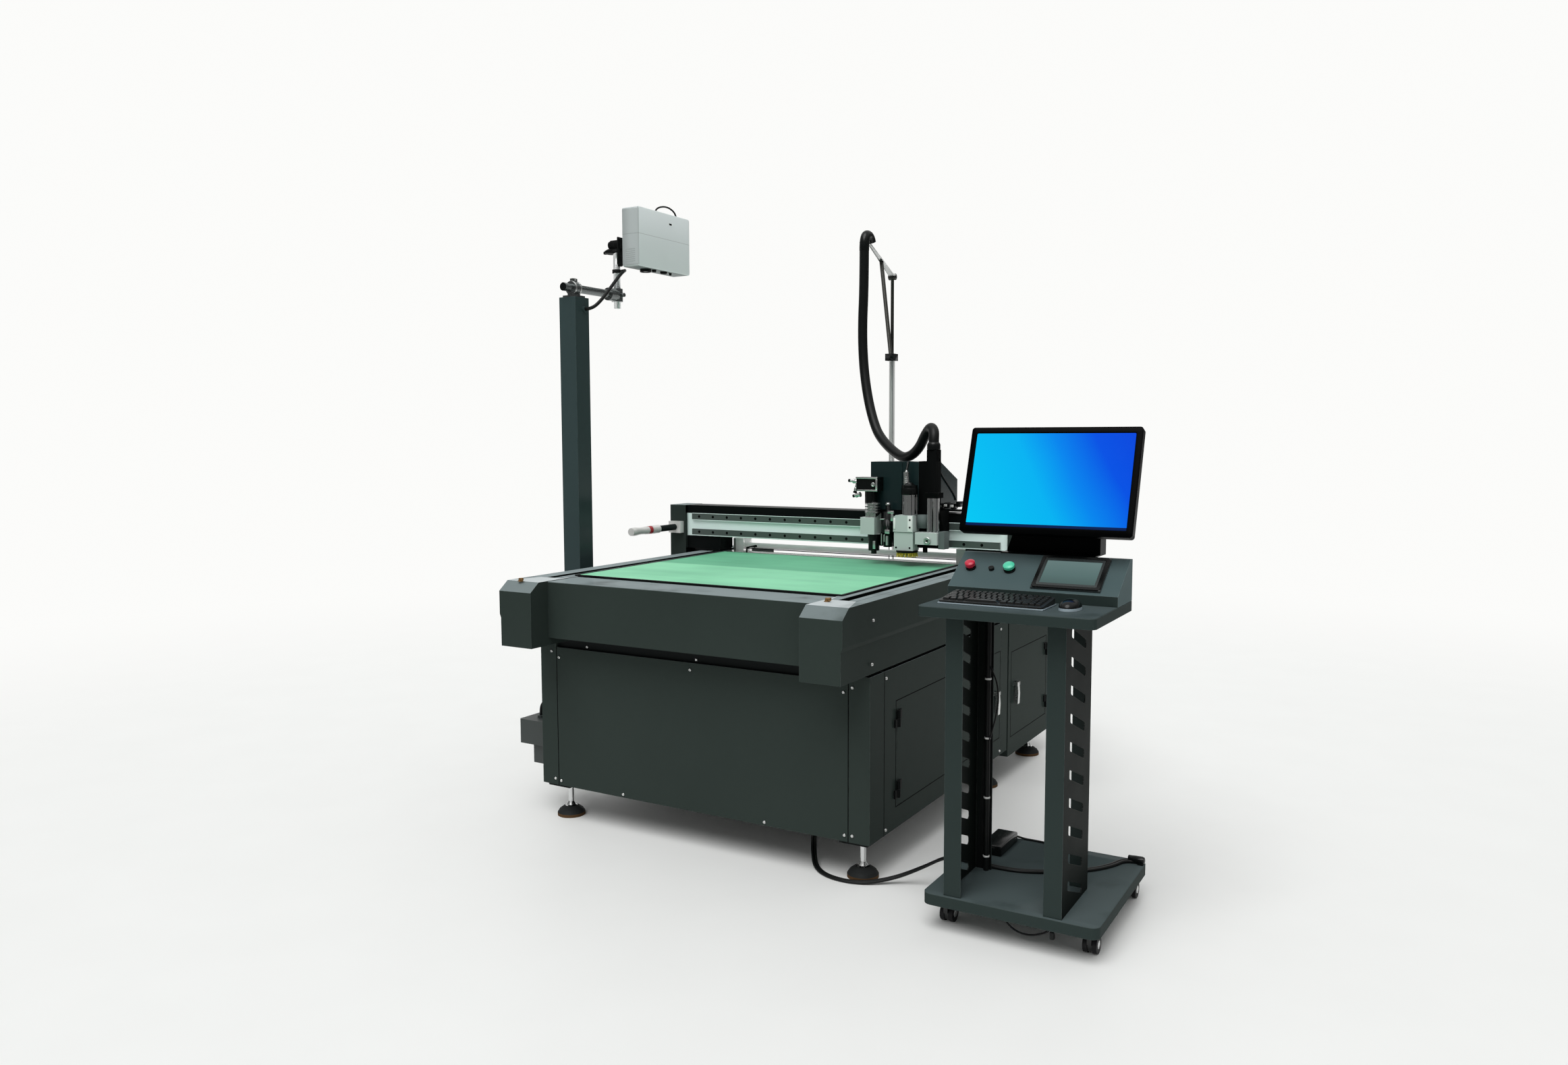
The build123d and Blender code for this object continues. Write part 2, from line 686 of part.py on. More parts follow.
# Rear cabinet: a closed sheet box bolted to the back of the machine, with a door on its right
REAR_HINGE_Y = REAR_DOOR_Y1 + DOOR_GAP / 2
REAR_HINGE_ZS = (REAR_DOOR_Z1 - HINGE_INSET, REAR_DOOR_Z0 + HINGE_INSET)
SPACER = 40.0
with BuildPart(TOP) as rear_cabinet:
    block(-CABINET_HALF, CABINET_HALF, REAR_Y0, REAR_Y1, REAR_BOTTOM, CABINET_TOP)
    room = (REAR_Y0 + SHEET, REAR_Y1 - SHEET, REAR_BOTTOM + SHEET, CABINET_TOP - SHEET)
    block(SHEET - CABINET_HALF, CABINET_HALF - SHEET, *room, Mode.SUBTRACT)
    rear_opening_y = (REAR_DOOR_Y0 - DOOR_GAP, REAR_DOOR_Y1 + DOOR_GAP)
    rear_opening_z = (REAR_DOOR_Z0 - DOOR_GAP, REAR_DOOR_Z1 + DOOR_GAP)
    block(
        CABINET_HALF - SHEET, CABINET_HALF, *rear_opening_y, *rear_opening_z, Mode.SUBTRACT
    )
    for side in SIDES:
        for z in (LOW_TUBE_Z, CABINET_TOP - TUBE):
            x = side * PANEL_HALF / 2
            block(x - SPACER / 2, x + SPACER / 2, CABINET_BACK, REAR_Y0, z, z + SPACER)
    for z in REAR_HINGE_ZS:
        hinge_leaf(HINGE_X, REAR_HINGE_Y, z - HINGE_L / 2, z - SLIDING, 1)
        rod_z(HINGE_X, REAR_HINGE_Y, z - SLIDING, z + KNUCKLE, PIN_R)
rear_cabinet.part.label = "rear_cabinet"
export_step(rear_cabinet.part, "parts/rear_cabinet.step")

REAR_LATCH_Y = REAR_DOOR_Y0 + LATCH_INSET
REAR_LATCH_Z1 = (REAR_DOOR_Z0 + REAR_DOOR_Z1) / 2 + LATCH_H / 2
with BuildPart(TOP) as cabinet_door:
    door_tray(REAR_DOOR_Y0, REAR_DOOR_Y1, REAR_DOOR_Z0, REAR_DOOR_Z1)
    for z in REAR_HINGE_ZS:
        hinge_leaf(HINGE_X, REAR_HINGE_Y, z + SLIDING, z + HINGE_L / 2, -1)
        hole_top = z + KNUCKLE + SLIDING
        rod_z(HINGE_X, REAR_HINGE_Y, z + SLIDING, hole_top, PIN_R + RUNNING, Mode.SUBTRACT)
    latch_seat(REAR_LATCH_Y, REAR_LATCH_Z1)
cabinet_door.part.label = "cabinet_door"
export_step(cabinet_door.part, "parts/cabinet_door.step")

with BuildPart(TOP) as cabinet_latch:
    latch_lever(REAR_LATCH_Y, REAR_LATCH_Z1)
cabinet_latch.part.label = "cabinet_latch"
export_step(cabinet_latch.part, "parts/cabinet_latch.step")

# Vacuum blower on the floor of the rear cabinet: impeller drum, motor and outlet
BLOWER_X = 120.0
BLOWER_R = 130.0
BLOWER_Y = (REAR_Y0 + REAR_Y1) / 2 - 6
BLOWER_FLOOR = REAR_BOTTOM + SHEET
BLOWER_Z = BLOWER_FLOOR + BLOWER_R + 30
with BuildPart(TOP) as vacuum_blower:
    rod_x(BLOWER_X, BLOWER_Y, BLOWER_Z, BLOWER_R, 120)
    rod_x(BLOWER_X - 150, BLOWER_Y, BLOWER_Z, BLOWER_R * 0.6, 200)
    rod_z(BLOWER_X, BLOWER_Y + BLOWER_R / 2, BLOWER_Z, BLOWER_Z + BLOWER_R + 70, 28)
    rod_z(BLOWER_X, BLOWER_Y - BLOWER_R / 2, BLOWER_Z, BLOWER_Z + BLOWER_R + 70, 28)
    block(BLOWER_X - 230, BLOWER_X + 60, BLOWER_Y - 90, BLOWER_Y + 90, BLOWER_FLOOR, BLOWER_FLOOR + 12)
    block(BLOWER_X - 200, BLOWER_X + 40, BLOWER_Y - 40, BLOWER_Y + 40, BLOWER_FLOOR, BLOWER_Z)
vacuum_blower.part.label = "vacuum_blower"
export_step(vacuum_blower.part, "parts/vacuum_blower.step")

# Drive modules on a plate against the left side of the frame
MODULE_PLATE_X = TUBE - FRAME_FACE
MODULE_H = 190.0
MODULE_COUNT = 5
MODULE_Y0 = CABINET_FRONT + 223.5
MODULE_Z = LOW_TUBE_Z + 203
with BuildPart(TOP) as control_plate:
    plate_x1 = MODULE_PLATE_X + 3
    block(MODULE_PLATE_X, plate_x1, MODULE_Y0 - 40, MODULE_Y0 + 880, LOW_TUBE_Z, HIGH_TUBE_Z)
    for i in range(MODULE_COUNT):
        y = MODULE_Y0 + i * 100
        block(plate_x1, plate_x1 + 150, y, y + 62, MODULE_Z, MODULE_Z + MODULE_H)
        face_z = (MODULE_Z + 15, MODULE_Z + 20 + MODULE_H / 2)
        block(plate_x1 + 150, plate_x1 + 158, y + 8, y + 54, *face_z)
    supply_y = (MODULE_Y0 + 560, MODULE_Y0 + 780)
    block(plate_x1, plate_x1 + 90, *supply_y, MODULE_Z + 10, MODULE_Z + 10 + MODULE_H)
    block(plate_x1, plate_x1 + 45, MODULE_Y0 - 20, MODULE_Y0 + 840, MODULE_Z - 80, MODULE_Z - 35)
    block(plate_x1, plate_x1 + 70, MODULE_Y0, MODULE_Y0 + 420, MODULE_Z - 175, MODULE_Z - 110)
control_plate.part.label = "control_plate"
export_step(control_plate.part, "parts/control_plate.step")

# Front beam between the rail covers: a rectangular tube with a rounded top edge
with BuildPart() as front_beam:
    with BuildSketch(SIDE.offset(-CAP_INNER)):
        with BuildLine():
            Polyline(
                (BEAM_FRONT, BEAM_BOTTOM),
                (BEAM_BACK, BEAM_BOTTOM),
                (BEAM_BACK, BEAM_TOP),
                (BEAM_FRONT, BEAM_TOP),
                close=True,
            )
        profile = make_face()
        fillet(profile.vertices().group_by(Axis.Z)[-1], 5)
        with Locations(((BEAM_FRONT + BEAM_BACK) / 2, (BEAM_BOTTOM + BEAM_TOP) / 2)):
            hollow = (BEAM_BACK - BEAM_FRONT - 2 * COVER_WALL, BEAM_TOP - BEAM_BOTTOM - 2 * COVER_WALL)
            Rectangle(*hollow, mode=Mode.SUBTRACT)
    extrude(amount=2 * CAP_INNER)
front_beam.part.label = "front_beam"
export_step(front_beam.part, "parts/front_beam.step")


# Rail covers: a long stepped channel each side, closed by a chamfered cap at its front
def rail_cover(side):
    """The cover on one side of the bed."""
    foot = COVER_HALF - STEP_IN
    with BuildSketch(FRONT) as section:
        with BuildLine():
            Polyline(
                (side * CAP_INNER, COVER_BOTTOM),
                (side * foot, COVER_BOTTOM),
                (side * foot, STEP_Z0),
                (side * COVER_HALF, STEP_Z1),
                (side * COVER_HALF, COVER_TOP),
                (side * CAP_INNER, COVER_TOP),
                close=True,
            )
        make_face()
    extrude(section.sketch, amount=-COVER_L)
    strip = (side * CAP_INNER, side * COVER_INNER)
    block(min(strip), max(strip), CAP_L, COVER_L, COVER_BOTTOM, COVER_TOP, Mode.SUBTRACT)
    with BuildSketch(SIDE.offset(min(side * CAP_INNER, side * COVER_HALF))) as corner:
        with BuildLine():
            Polyline(
                (0, COVER_TOP - CAP_CHAMFER_Z),
                (CAP_CHAMFER_Y, COVER_TOP),
                (0, COVER_TOP),
                close=True,
            )
        make_face()
    extrude(corner.sketch, amount=CAP_W, mode=Mode.SUBTRACT)
    inside = (side * (COVER_INNER + COVER_WALL), side * (foot - COVER_WALL))
    low = COVER_BOTTOM + COVER_WALL
    span = (CAP_CHAMFER_Y, COVER_L - COVER_WALL)
    block(min(inside), max(inside), *span, low, COVER_TOP - COVER_WALL, Mode.SUBTRACT)
    nose = (side * (CAP_INNER + COVER_WALL), side * (foot - COVER_WALL))
    nose_z = (low, COVER_TOP - CAP_CHAMFER_Z - COVER_WALL)
    block(min(nose), max(nose), COVER_WALL, CAP_L - COVER_WALL, *nose_z, Mode.SUBTRACT)
    slot = (side * (COVER_INNER + COVER_WALL), side * (COVER_HALF - TOP_STRIP))
    slot_span = (SLOT_FRONT, COVER_L - COVER_WALL)
    block(min(slot), max(slot), *slot_span, low, COVER_TOP, Mode.SUBTRACT)


with BuildPart(TOP) as rail_covers:
    for side in SIDES:
        rail_cover(side)
rail_covers.part.label = "rail_covers"
export_step(rail_covers.part, "parts/rail_covers.step")

# Bed: a deep stepped tray standing on the frame, with the rear strip and the roller's brackets
BED_BACK = COVER_L - COVER_WALL
with BuildPart(TOP) as bed_table:
    with BuildSketch(SIDE.offset(-BED_HALF)):
        with BuildLine():
            Polyline(
                (BED_FRONT, COVER_BOTTOM),
                (BED_FRONT, COVER_TOP),
                (BED_STEP, COVER_TOP),
                (BED_STEP, BED_DECK),
                (BED_BACK, BED_DECK),
                (BED_BACK, COVER_BOTTOM),
                close=True,
            )
        make_face()
    extrude(amount=2 * BED_HALF)
    underside = bed_table.faces().sort_by(Axis.Z)[0]
    offset(amount=-BED_SKIN, openings=underside)
    strip_y = (MAT_BACK + WELD_GAP, MAT_BACK + REAR_STRIP)
    strip_z = (COVER_TOP + WELD_GAP, COVER_TOP + MAT_T)
    block(-BED_HALF, BED_HALF, *strip_y, *strip_z)
    for side in SIDES:
        ends = (side * BRACKET_X0, side * BRACKET_X1)
        bracket_y = (ROLLER_Y - BRACKET_L / 2, ROLLER_Y + BRACKET_L / 2)
        block(min(ends), max(ends), *bracket_y, BED_DECK + WELD_GAP, BRACKET_TOP)
        middle = side * (BRACKET_X0 + BRACKET_X1) / 2
        bore_r = SHAFT_R + RUNNING
        rod_x(middle, ROLLER_Y, ROLLER_Z, bore_r, BRACKET_X1 - BRACKET_X0, Mode.SUBTRACT)
bed_table.part.label = "bed_table"
export_step(bed_table.part, "parts/bed_table.step")

# Cutting mat
with BuildPart(TOP) as cutting_mat:
    block(-BED_HALF, BED_HALF, MAT_FRONT, MAT_BACK, COVER_TOP, COVER_TOP + MAT_T)
cutting_mat.part.label = "cutting_mat"
export_step(cutting_mat.part, "parts/cutting_mat.step")

# Feed roller with its shaft ends
with BuildPart(TOP) as feed_roller:
    rod_x(0, ROLLER_Y, ROLLER_Z, ROLLER_R, 2 * ROLLER_HALF)
    rod_x(0, ROLLER_Y, ROLLER_Z, SHAFT_R, 2 * (BRACKET_X1 - 2))
feed_roller.part.label = "feed_roller"
export_step(feed_roller.part, "parts/feed_roller.step")

# Rails of the long axis, each on its pedestal inside a cover
RAIL_Y0 = CAP_CHAMFER_Y + RAIL_MARGIN
RAIL_Y1 = COVER_L - COVER_WALL - RAIL_MARGIN
with BuildPart(TOP) as y_rails:
    for side in SIDES:
        x = side * PEDESTAL_X
        floor = COVER_BOTTOM + COVER_WALL
        span = (x - PEDESTAL_W / 2, x + PEDESTAL_W / 2, RAIL_Y0, RAIL_Y1)
        block(*span, floor, PEDESTAL_TOP)
        hollow = (span[0] + TUBE_WALL, span[1] - TUBE_WALL, RAIL_Y0, RAIL_Y1)
        block(*hollow, floor + TUBE_WALL, PEDESTAL_TOP - TUBE_WALL, Mode.SUBTRACT)
        rail = (x - RAIL_W / 2, x + RAIL_W / 2, RAIL_Y0, RAIL_Y1)
        block(*rail, PEDESTAL_TOP + WELD_GAP, RAIL_TOP)
y_rails.part.label = "y_rails"
export_step(y_rails.part, "parts/y_rails.step")

# Gantry beam: an aluminium extrusion with two chambers and a slot along its back
with BuildPart() as gantry_beam:
    with BuildSketch(SIDE.offset(-GANTRY_HALF)):
        height = GANTRY_TOP - GANTRY_BOTTOM
        with Locations((GANTRY_Y + GANTRY_D / 2, GANTRY_BOTTOM + height / 2)):
            Rectangle(GANTRY_D, height)
            chamber = (height - 3 * GANTRY_WALL) / 2
            with GridLocations(0, chamber + GANTRY_WALL, 1, 2):
                Rectangle(GANTRY_D - 2 * GANTRY_WALL, chamber, mode=Mode.SUBTRACT)
        with Locations((GANTRY_BACK, GANTRY_BOTTOM + height / 2)):
            Rectangle(GANTRY_WALL, GANTRY_WALL, mode=Mode.SUBTRACT)
    extrude(amount=2 * GANTRY_HALF)
gantry_beam.part.label = "gantry_beam"
export_step(gantry_beam.part, "parts/gantry_beam.step")

# Guide rails of the cross axis on the front of the beam
with BuildPart(TOP) as gantry_rails:
    for z in (X_RAIL_LOW, X_RAIL_HIGH):
        block(-X_RAIL_HALF, X_RAIL_HALF, GANTRY_Y - X_RAIL_T, GANTRY_Y, z, z + X_RAIL_H)
gantry_rails.part.label = "gantry_rails"
export_step(gantry_rails.part, "parts/gantry_rails.step")

# Top cover of the gantry: an upturned channel
with BuildPart() as gantry_cover:
    with BuildSketch(SIDE.offset(-GANTRY_HALF)):
        with BuildLine():
            Polyline(
                (GANTRY_Y, GANTRY_TOP),
                (GANTRY_Y, COVER_LID),
                (GANTRY_BACK, COVER_LID),
                (GANTRY_BACK, GANTRY_TOP),
                (GANTRY_BACK - COVER_WALL, GANTRY_TOP),
                (GANTRY_BACK - COVER_WALL, COVER_LID - COVER_WALL),
                (GANTRY_Y + COVER_WALL, COVER_LID - COVER_WALL),
                (GANTRY_Y + COVER_WALL, GANTRY_TOP),
                close=True,
            )
        make_face()
    extrude(amount=2 * GANTRY_HALF)
gantry_cover.part.label = "gantry_cover"
export_step(gantry_cover.part, "parts/gantry_cover.step")


# Gantry legs: a bridge over the cover's top strip, a riser into the slot and a rail saddle
def gantry_leg(side):
    """One leg of the gantry."""
    x = side * PEDESTAL_X
    saddle_top = RAIL_TOP + SLIDING + SADDLE_H - RAIL_H + 6
    bridge = (side * LEG_INNER, side * GANTRY_HALF)
    block(min(bridge), max(bridge), GANTRY_Y, GANTRY_BACK, BRIDGE_BOTTOM, GANTRY_BOTTOM)
    riser = (x - RISER_W / 2, x + RISER_W / 2)
    block(*riser, GANTRY_Y, GANTRY_BACK, saddle_top, BRIDGE_BOTTOM)
    middle = GANTRY_Y + GANTRY_D / 2
    saddle_y = (middle - SADDLE_L / 2, middle + SADDLE_L / 2)
    block(x - SADDLE_W / 2, x + SADDLE_W / 2, *saddle_y, PEDESTAL_TOP + 6, saddle_top)
    groove = RAIL_W / 2 + SLIDING
    block(x - groove, x + groove, *saddle_y, PEDESTAL_TOP + 6, RAIL_TOP + SLIDING, Mode.SUBTRACT)


with BuildPart(TOP) as gantry_legs:
    for side in SIDES:
        gantry_leg(side)
gantry_legs.part.label = "gantry_legs"
export_step(gantry_legs.part, "parts/gantry_legs.step")

# End covers of the gantry: sheet boxes over the drives, open towards the beam
with BuildPart(TOP) as gantry_ends:
    for side in SIDES:
        inner = side * GANTRY_HALF
        outer = side * (GANTRY_HALF + END_W)
        block(min(inner, outer), max(inner, outer), END_FRONT, END_BACK, END_BOTTOM, COVER_LID)
        wall = side * (GANTRY_HALF + END_W - SHEET)
        room = (END_FRONT + SHEET, END_BACK - SHEET, END_BOTTOM + SHEET, COVER_LID - SHEET)
        block(min(inner, wall), max(inner, wall), *room, Mode.SUBTRACT)
        flange = side * (GANTRY_HALF + SHEET)
        block(min(inner, flange), max(inner, flange), *room[:2], BRIDGE_BOTTOM, GANTRY_TOP)
gantry_ends.part.label = "gantry_ends"
export_step(gantry_ends.part, "parts/gantry_ends.step")

# Safety feeler on the left end cover: a collar and a forward rod with a thicker tip
with BuildPart(TOP) as safety_feeler:
    x = -(GANTRY_HALF + END_W / 2)
    collar_y = END_FRONT - SENSOR_COLLAR_T
    half_w = SENSOR_COLLAR_W / 2
    half_h = SENSOR_COLLAR_H / 2
    block(x - half_w, x + half_w, collar_y, END_FRONT, SENSOR_Z - half_h, SENSOR_Z + half_h)
    rod_y(x, collar_y - SENSOR_L / 2, SENSOR_Z, SENSOR_R, SENSOR_L)
    tip_y = collar_y - SENSOR_L + SENSOR_TIP_L / 2
    rod_y(x, tip_y, SENSOR_Z, SENSOR_TIP_R, SENSOR_TIP_L)
safety_feeler.part.label = "safety_feeler"
export_step(safety_feeler.part, "parts/safety_feeler.step")

# Carriage: body and back plate on four rail blocks, the shelf over the beam, cable box and socket
HEAD_MIDDLE = (HEAD_X0 + HEAD_X1) / 2
BLOCK_PITCH = HEAD_W - BLOCK_L - 20
with BuildPart(TOP) as carriage_plate:
    block(HEAD_X0, HEAD_X1, HEAD_FRONT, PLATE_Y, HEAD_BOTTOM, HOUSING_BOTTOM - WELD_GAP)
    block(HEAD_X0, HEAD_X1, PLATE_Y, BLOCK_Y, GANTRY_BOTTOM, HOUSING_BOTTOM - WELD_GAP)
    block(SHELF_X0, SHELF_X1, BLOCK_Y, HOOD_BACK, SHELF_Z, SHELF_TOP)
    for x in (HEAD_MIDDLE - BLOCK_PITCH / 2, HEAD_MIDDLE + BLOCK_PITCH / 2):
        for rail_z in (X_RAIL_LOW, X_RAIL_HIGH):
            middle = rail_z + X_RAIL_H / 2
            block_z = (middle - BLOCK_H / 2, middle + BLOCK_H / 2)
            span = (x - BLOCK_L / 2, x + BLOCK_L / 2)
            block(*span, BLOCK_Y, GANTRY_Y - 2, *block_z)
            groove_y = GANTRY_Y - X_RAIL_T - SLIDING
            groove_z = (rail_z - SLIDING, rail_z + X_RAIL_H + SLIDING)
            block(*span, groove_y, GANTRY_Y - 2, *groove_z, Mode.SUBTRACT)
    cable_box = (HOUSING_X1 + WELD_GAP, CABLE_BOX_X1, HEAD_FRONT, PLATE_Y + PLATE_T)
    block(*cable_box, HOUSING_BOTTOM - WELD_GAP, CABLE_BOX_TOP)
    socket = (HOSE_X - HOSE_BLOCK_W / 2, HOSE_X + HOSE_BLOCK_W / 2)
    socket_y = (HOSE_Y - HOSE_BLOCK_W / 2 + 5, HOSE_Y + HOSE_BLOCK_W / 2)
    block(*socket, *socket_y, CABLE_BOX_TOP, HOSE_BLOCK_TOP)
    block(CENTRE_X + 37, CENTRE_X + 78, TOOL_FACE + 34, HEAD_FRONT, GUARD_Z, GUARD_Z + GUARD_H)
    block(REGULATOR_X - 14, REGULATOR_X + 14, TOOL_Y, HEAD_FRONT, TOOL_Z + 84, TOOL_Z + 120)
    rod_z(REGULATOR_X, TOOL_Y, TOOL_Z + 10, TOOL_Z + 72, 0.7 * REGULATOR_R)
    rod_z(REGULATOR_X, TOOL_Y, TOOL_Z + 72, TOOL_Z + 130, REGULATOR_R)
    rod_z(REGULATOR_X, TOOL_Y, TOOL_Z + 130, TOOL_Z + 160, 0.8 * REGULATOR_R)
    rod_z(REGULATOR_X, TOOL_Y, TOOL_Z + 160, TOOL_Z + 186, 0.4 * REGULATOR_R)
carriage_plate.part.label = "carriage_plate"
export_step(carriage_plate.part, "parts/carriage_plate.step")

# Head housing: a grooved front box and a sloping hood behind it, both of folded sheet
with BuildPart(TOP) as head_housing:
    block(HEAD_X0, HOUSING_X1, HEAD_FRONT, BLOCK_Y, HOUSING_BOTTOM, HOUSING_TOP)
    inside = (HEAD_X0 + HOUSING_WALL, HOUSING_X1 - HOUSING_WALL)
    depth = (HEAD_FRONT + GROOVE_D + HOUSING_WALL, BLOCK_Y)
    block(*inside, *depth, HOUSING_BOTTOM, HOUSING_TOP - HOUSING_WALL, Mode.SUBTRACT)
    groove_x = HEAD_X0 + 0.72 * (HOUSING_X1 - HEAD_X0)
    groove = (groove_x - GROOVE_W / 2, groove_x + GROOVE_W / 2)
    block(*groove, HEAD_FRONT, HEAD_FRONT + GROOVE_D, HOUSING_BOTTOM, HOUSING_TOP, Mode.SUBTRACT)
    with BuildSketch(SIDE.offset(SHELF_X0)):
        with BuildLine():
            Polyline(
                (BLOCK_Y + WELD_GAP, SHELF_TOP + WELD_GAP),
                (BLOCK_Y + WELD_GAP, HOUSING_TOP),
                (HOOD_KNEE, HOUSING_TOP),
                (HOOD_BACK, HOOD_LOW),
                (HOOD_BACK, SHELF_TOP + WELD_GAP),
                close=True,
            )
        make_face()
    extrude(amount=SHELF_X1 - SHELF_X0)
    with BuildSketch(SIDE.offset(SHELF_X0 + HOUSING_WALL)):
        with BuildLine():
            Polyline(
                (BLOCK_Y + HOUSING_WALL, SHELF_TOP + WELD_GAP),
                (BLOCK_Y + HOUSING_WALL, HOUSING_TOP - HOUSING_WALL),
                (HOOD_KNEE, HOUSING_TOP - HOUSING_WALL),
                (HOOD_BACK - HOUSING_WALL, HOOD_LOW - HOUSING_WALL),
                (HOOD_BACK - HOUSING_WALL, SHELF_TOP + WELD_GAP),
                close=True,
            )
        make_face()
    extrude(amount=SHELF_X1 - SHELF_X0 - 2 * HOUSING_WALL, mode=Mode.SUBTRACT)
head_housing.part.label = "head_housing"
export_step(head_housing.part, "parts/head_housing.step")

# Tools: each hangs on the head's front plane and slides up and down there
with BuildPart(TOP) as left_tool:
    block(LEFT_X - 62, LEFT_X + 38, TOOL_FACE + 10, BACK_FIT, TOOL_Z + 246, TOOL_Z + 305)
    rod_z(LEFT_X - 4, TOOL_Y, TOOL_Z + 195, TOOL_Z + 246, 26)
    for i in range(4):
        fin_z = TOOL_Z + 152 + 12 * i
        rod_z(LEFT_X + 4, TOOL_Y, fin_z, fin_z + 7, 33)
    rod_z(LEFT_X + 4, TOOL_Y, TOOL_Z + 128, TOOL_Z + 200, 22)
    block(LEFT_X - 38, LEFT_X + 28, TOOL_FACE, BACK_FIT, TOOL_Z + 62, TOOL_Z + 134)
    block(LEFT_X - 20, LEFT_X + 28, TOOL_FACE + 12, BACK_FIT, TOOL_Z + 134, TOOL_Z + 150)
    rod_z(LEFT_X + 11, TOOL_Y, TOOL_Z + 48, TOOL_Z + 62, 27)
    rod_z(LEFT_X + 11, TOOL_Y, TOOL_Z - 8, TOOL_Z + 48, 24)
    rod_z(LEFT_X + 11, TOOL_Y, TOOL_Z - 22, TOOL_Z - 8, 12)
left_tool.part.label = "left_tool"
export_step(left_tool.part, "parts/left_tool.step")

with BuildPart(TOP) as centre_tool:
    block(CENTRE_X - 56, CENTRE_X + 34, TOOL_FACE, BACK_FIT, TOOL_Z + 78, TOOL_Z + 148)
    block(CENTRE_X - 54, CENTRE_X + 32, TOOL_FACE + 4, BACK_FIT, TOOL_Z, TOOL_Z + 76)
    block(CENTRE_X - 50, CENTRE_X + 28, TOOL_FACE + 8, BACK_FIT, TOOL_Z + 76, TOOL_Z + 78)
    chamfer(centre_tool.edges().filter_by(Axis.Y).group_by(Axis.X)[0].sort_by(Axis.Z)[-1:], 10)
    rod_z(CENTRE_X + 6, TOOL_Y, TOOL_Z + 148, TOOL_Z + 234, 30)
    rod_z(CENTRE_X + 3, TOOL_Y, TOOL_Z + 234, TOOL_Z + 274, 33)
    rod_z(CENTRE_X - 12, TOOL_Y, TOOL_Z + 274, TOOL_Z + 328, 12)
    rod_z(CENTRE_X - 6, TOOL_Y, RING_Z0 + 3, RING_Z1, 5)
centre_tool.part.label = "centre_tool"
export_step(centre_tool.part, "parts/centre_tool.step")

with BuildPart(TOP) as presser_ring:
    rod_z(CENTRE_X - 6, TOOL_Y, RING_Z0, RING_Z1, RING_R)
    rod_z(CENTRE_X - 6, TOOL_Y, RING_Z0, RING_Z1, RING_BORE, Mode.SUBTRACT)
    chamfer(presser_ring.faces().sort_by(Axis.Z)[0].outer_wire().edges(), 6)
presser_ring.part.label = "presser_ring"
export_step(presser_ring.part, "parts/presser_ring.step")

with BuildPart(TOP) as right_tool:
    for x in (RIGHT_X - 10, RIGHT_X + 18):
        rod_z(x, TOOL_Y, TOOL_Z + 79, TOOL_Z + 228, 13)
    block(RIGHT_X - 27, RIGHT_X + 35, TOOL_FACE + 10, BACK_FIT, TOOL_Z + 222, TOOL_Z + 244)
    block(RIGHT_X - 62, RIGHT_X + 36, TOOL_FACE, BACK_FIT, TOOL_Z + 29, TOOL_Z + 79)
    rod_y(RIGHT_X - 6, TOOL_FACE, TOOL_Z + 46, 14, 8)
    rod_z(RIGHT_X - 30, TOOL_Y, TOOL_Z - 6, TOOL_Z + 29, 10)
    block(RIGHT_X + 36, RIGHT_X + 62, TOOL_FACE + 14, BACK_FIT, TOOL_Z + 12, TOOL_Z + 84)
right_tool.part.label = "right_tool"
export_step(right_tool.part, "parts/right_tool.step")

# Hose pole: upright tube, collar, thin upper tube, rising boom and its brace
BOOM_RISE = math.degrees(math.atan2(TIP_Z - JOINT_Z, POLE_Y - TIP_Y))
BRACE_LEAN = math.degrees(math.atan2(POLE_Y - BRACE_Y, BRACE_Z - COLLAR_Z))
with BuildPart(TOP) as hose_pole:
    rod_z(0, POLE_Y, CABINET_TOP, CABINET_TOP + 10, 45)
    rod_z(0, POLE_Y, CABINET_TOP + 10, COLLAR_Z - 20, POLE_R)
    block(-22, 22, POLE_Y - 34, POLE_Y + 22, COLLAR_Z - 20, COLLAR_Z + 14)
    rod_z(0, POLE_Y, COLLAR_Z + 14, JOINT_Z, UPPER_R)
    boom_y = (POLE_Y + TIP_Y) / 2
    boom_l = math.hypot(POLE_Y - TIP_Y, TIP_Z - JOINT_Z)
    with Locations(Location((0, boom_y, (JOINT_Z + TIP_Z) / 2), (-BOOM_RISE, 0, 0))):
        Box(BOOM_W, boom_l, BOOM_T)
    with Locations(Location((0, POLE_Y, JOINT_Z), (0, 90, 0))):
        Cylinder(16, BOOM_W + 8)
    with Locations((0, TIP_Y, TIP_Z - 14)):
        Cylinder(HOSE_R + 5, 56)
    brace_l = math.hypot(POLE_Y - BRACE_Y, BRACE_Z - COLLAR_Z)
    middle = (0, (POLE_Y + BRACE_Y) / 2 - 14, (COLLAR_Z + BRACE_Z) / 2)
    with Locations(Location(middle, (BRACE_LEAN, 0, 0))):
        Cylinder(BRACE_R, brace_l)
hose_pole.part.label = "hose_pole"
export_step(hose_pole.part, "parts/hose_pole.step")

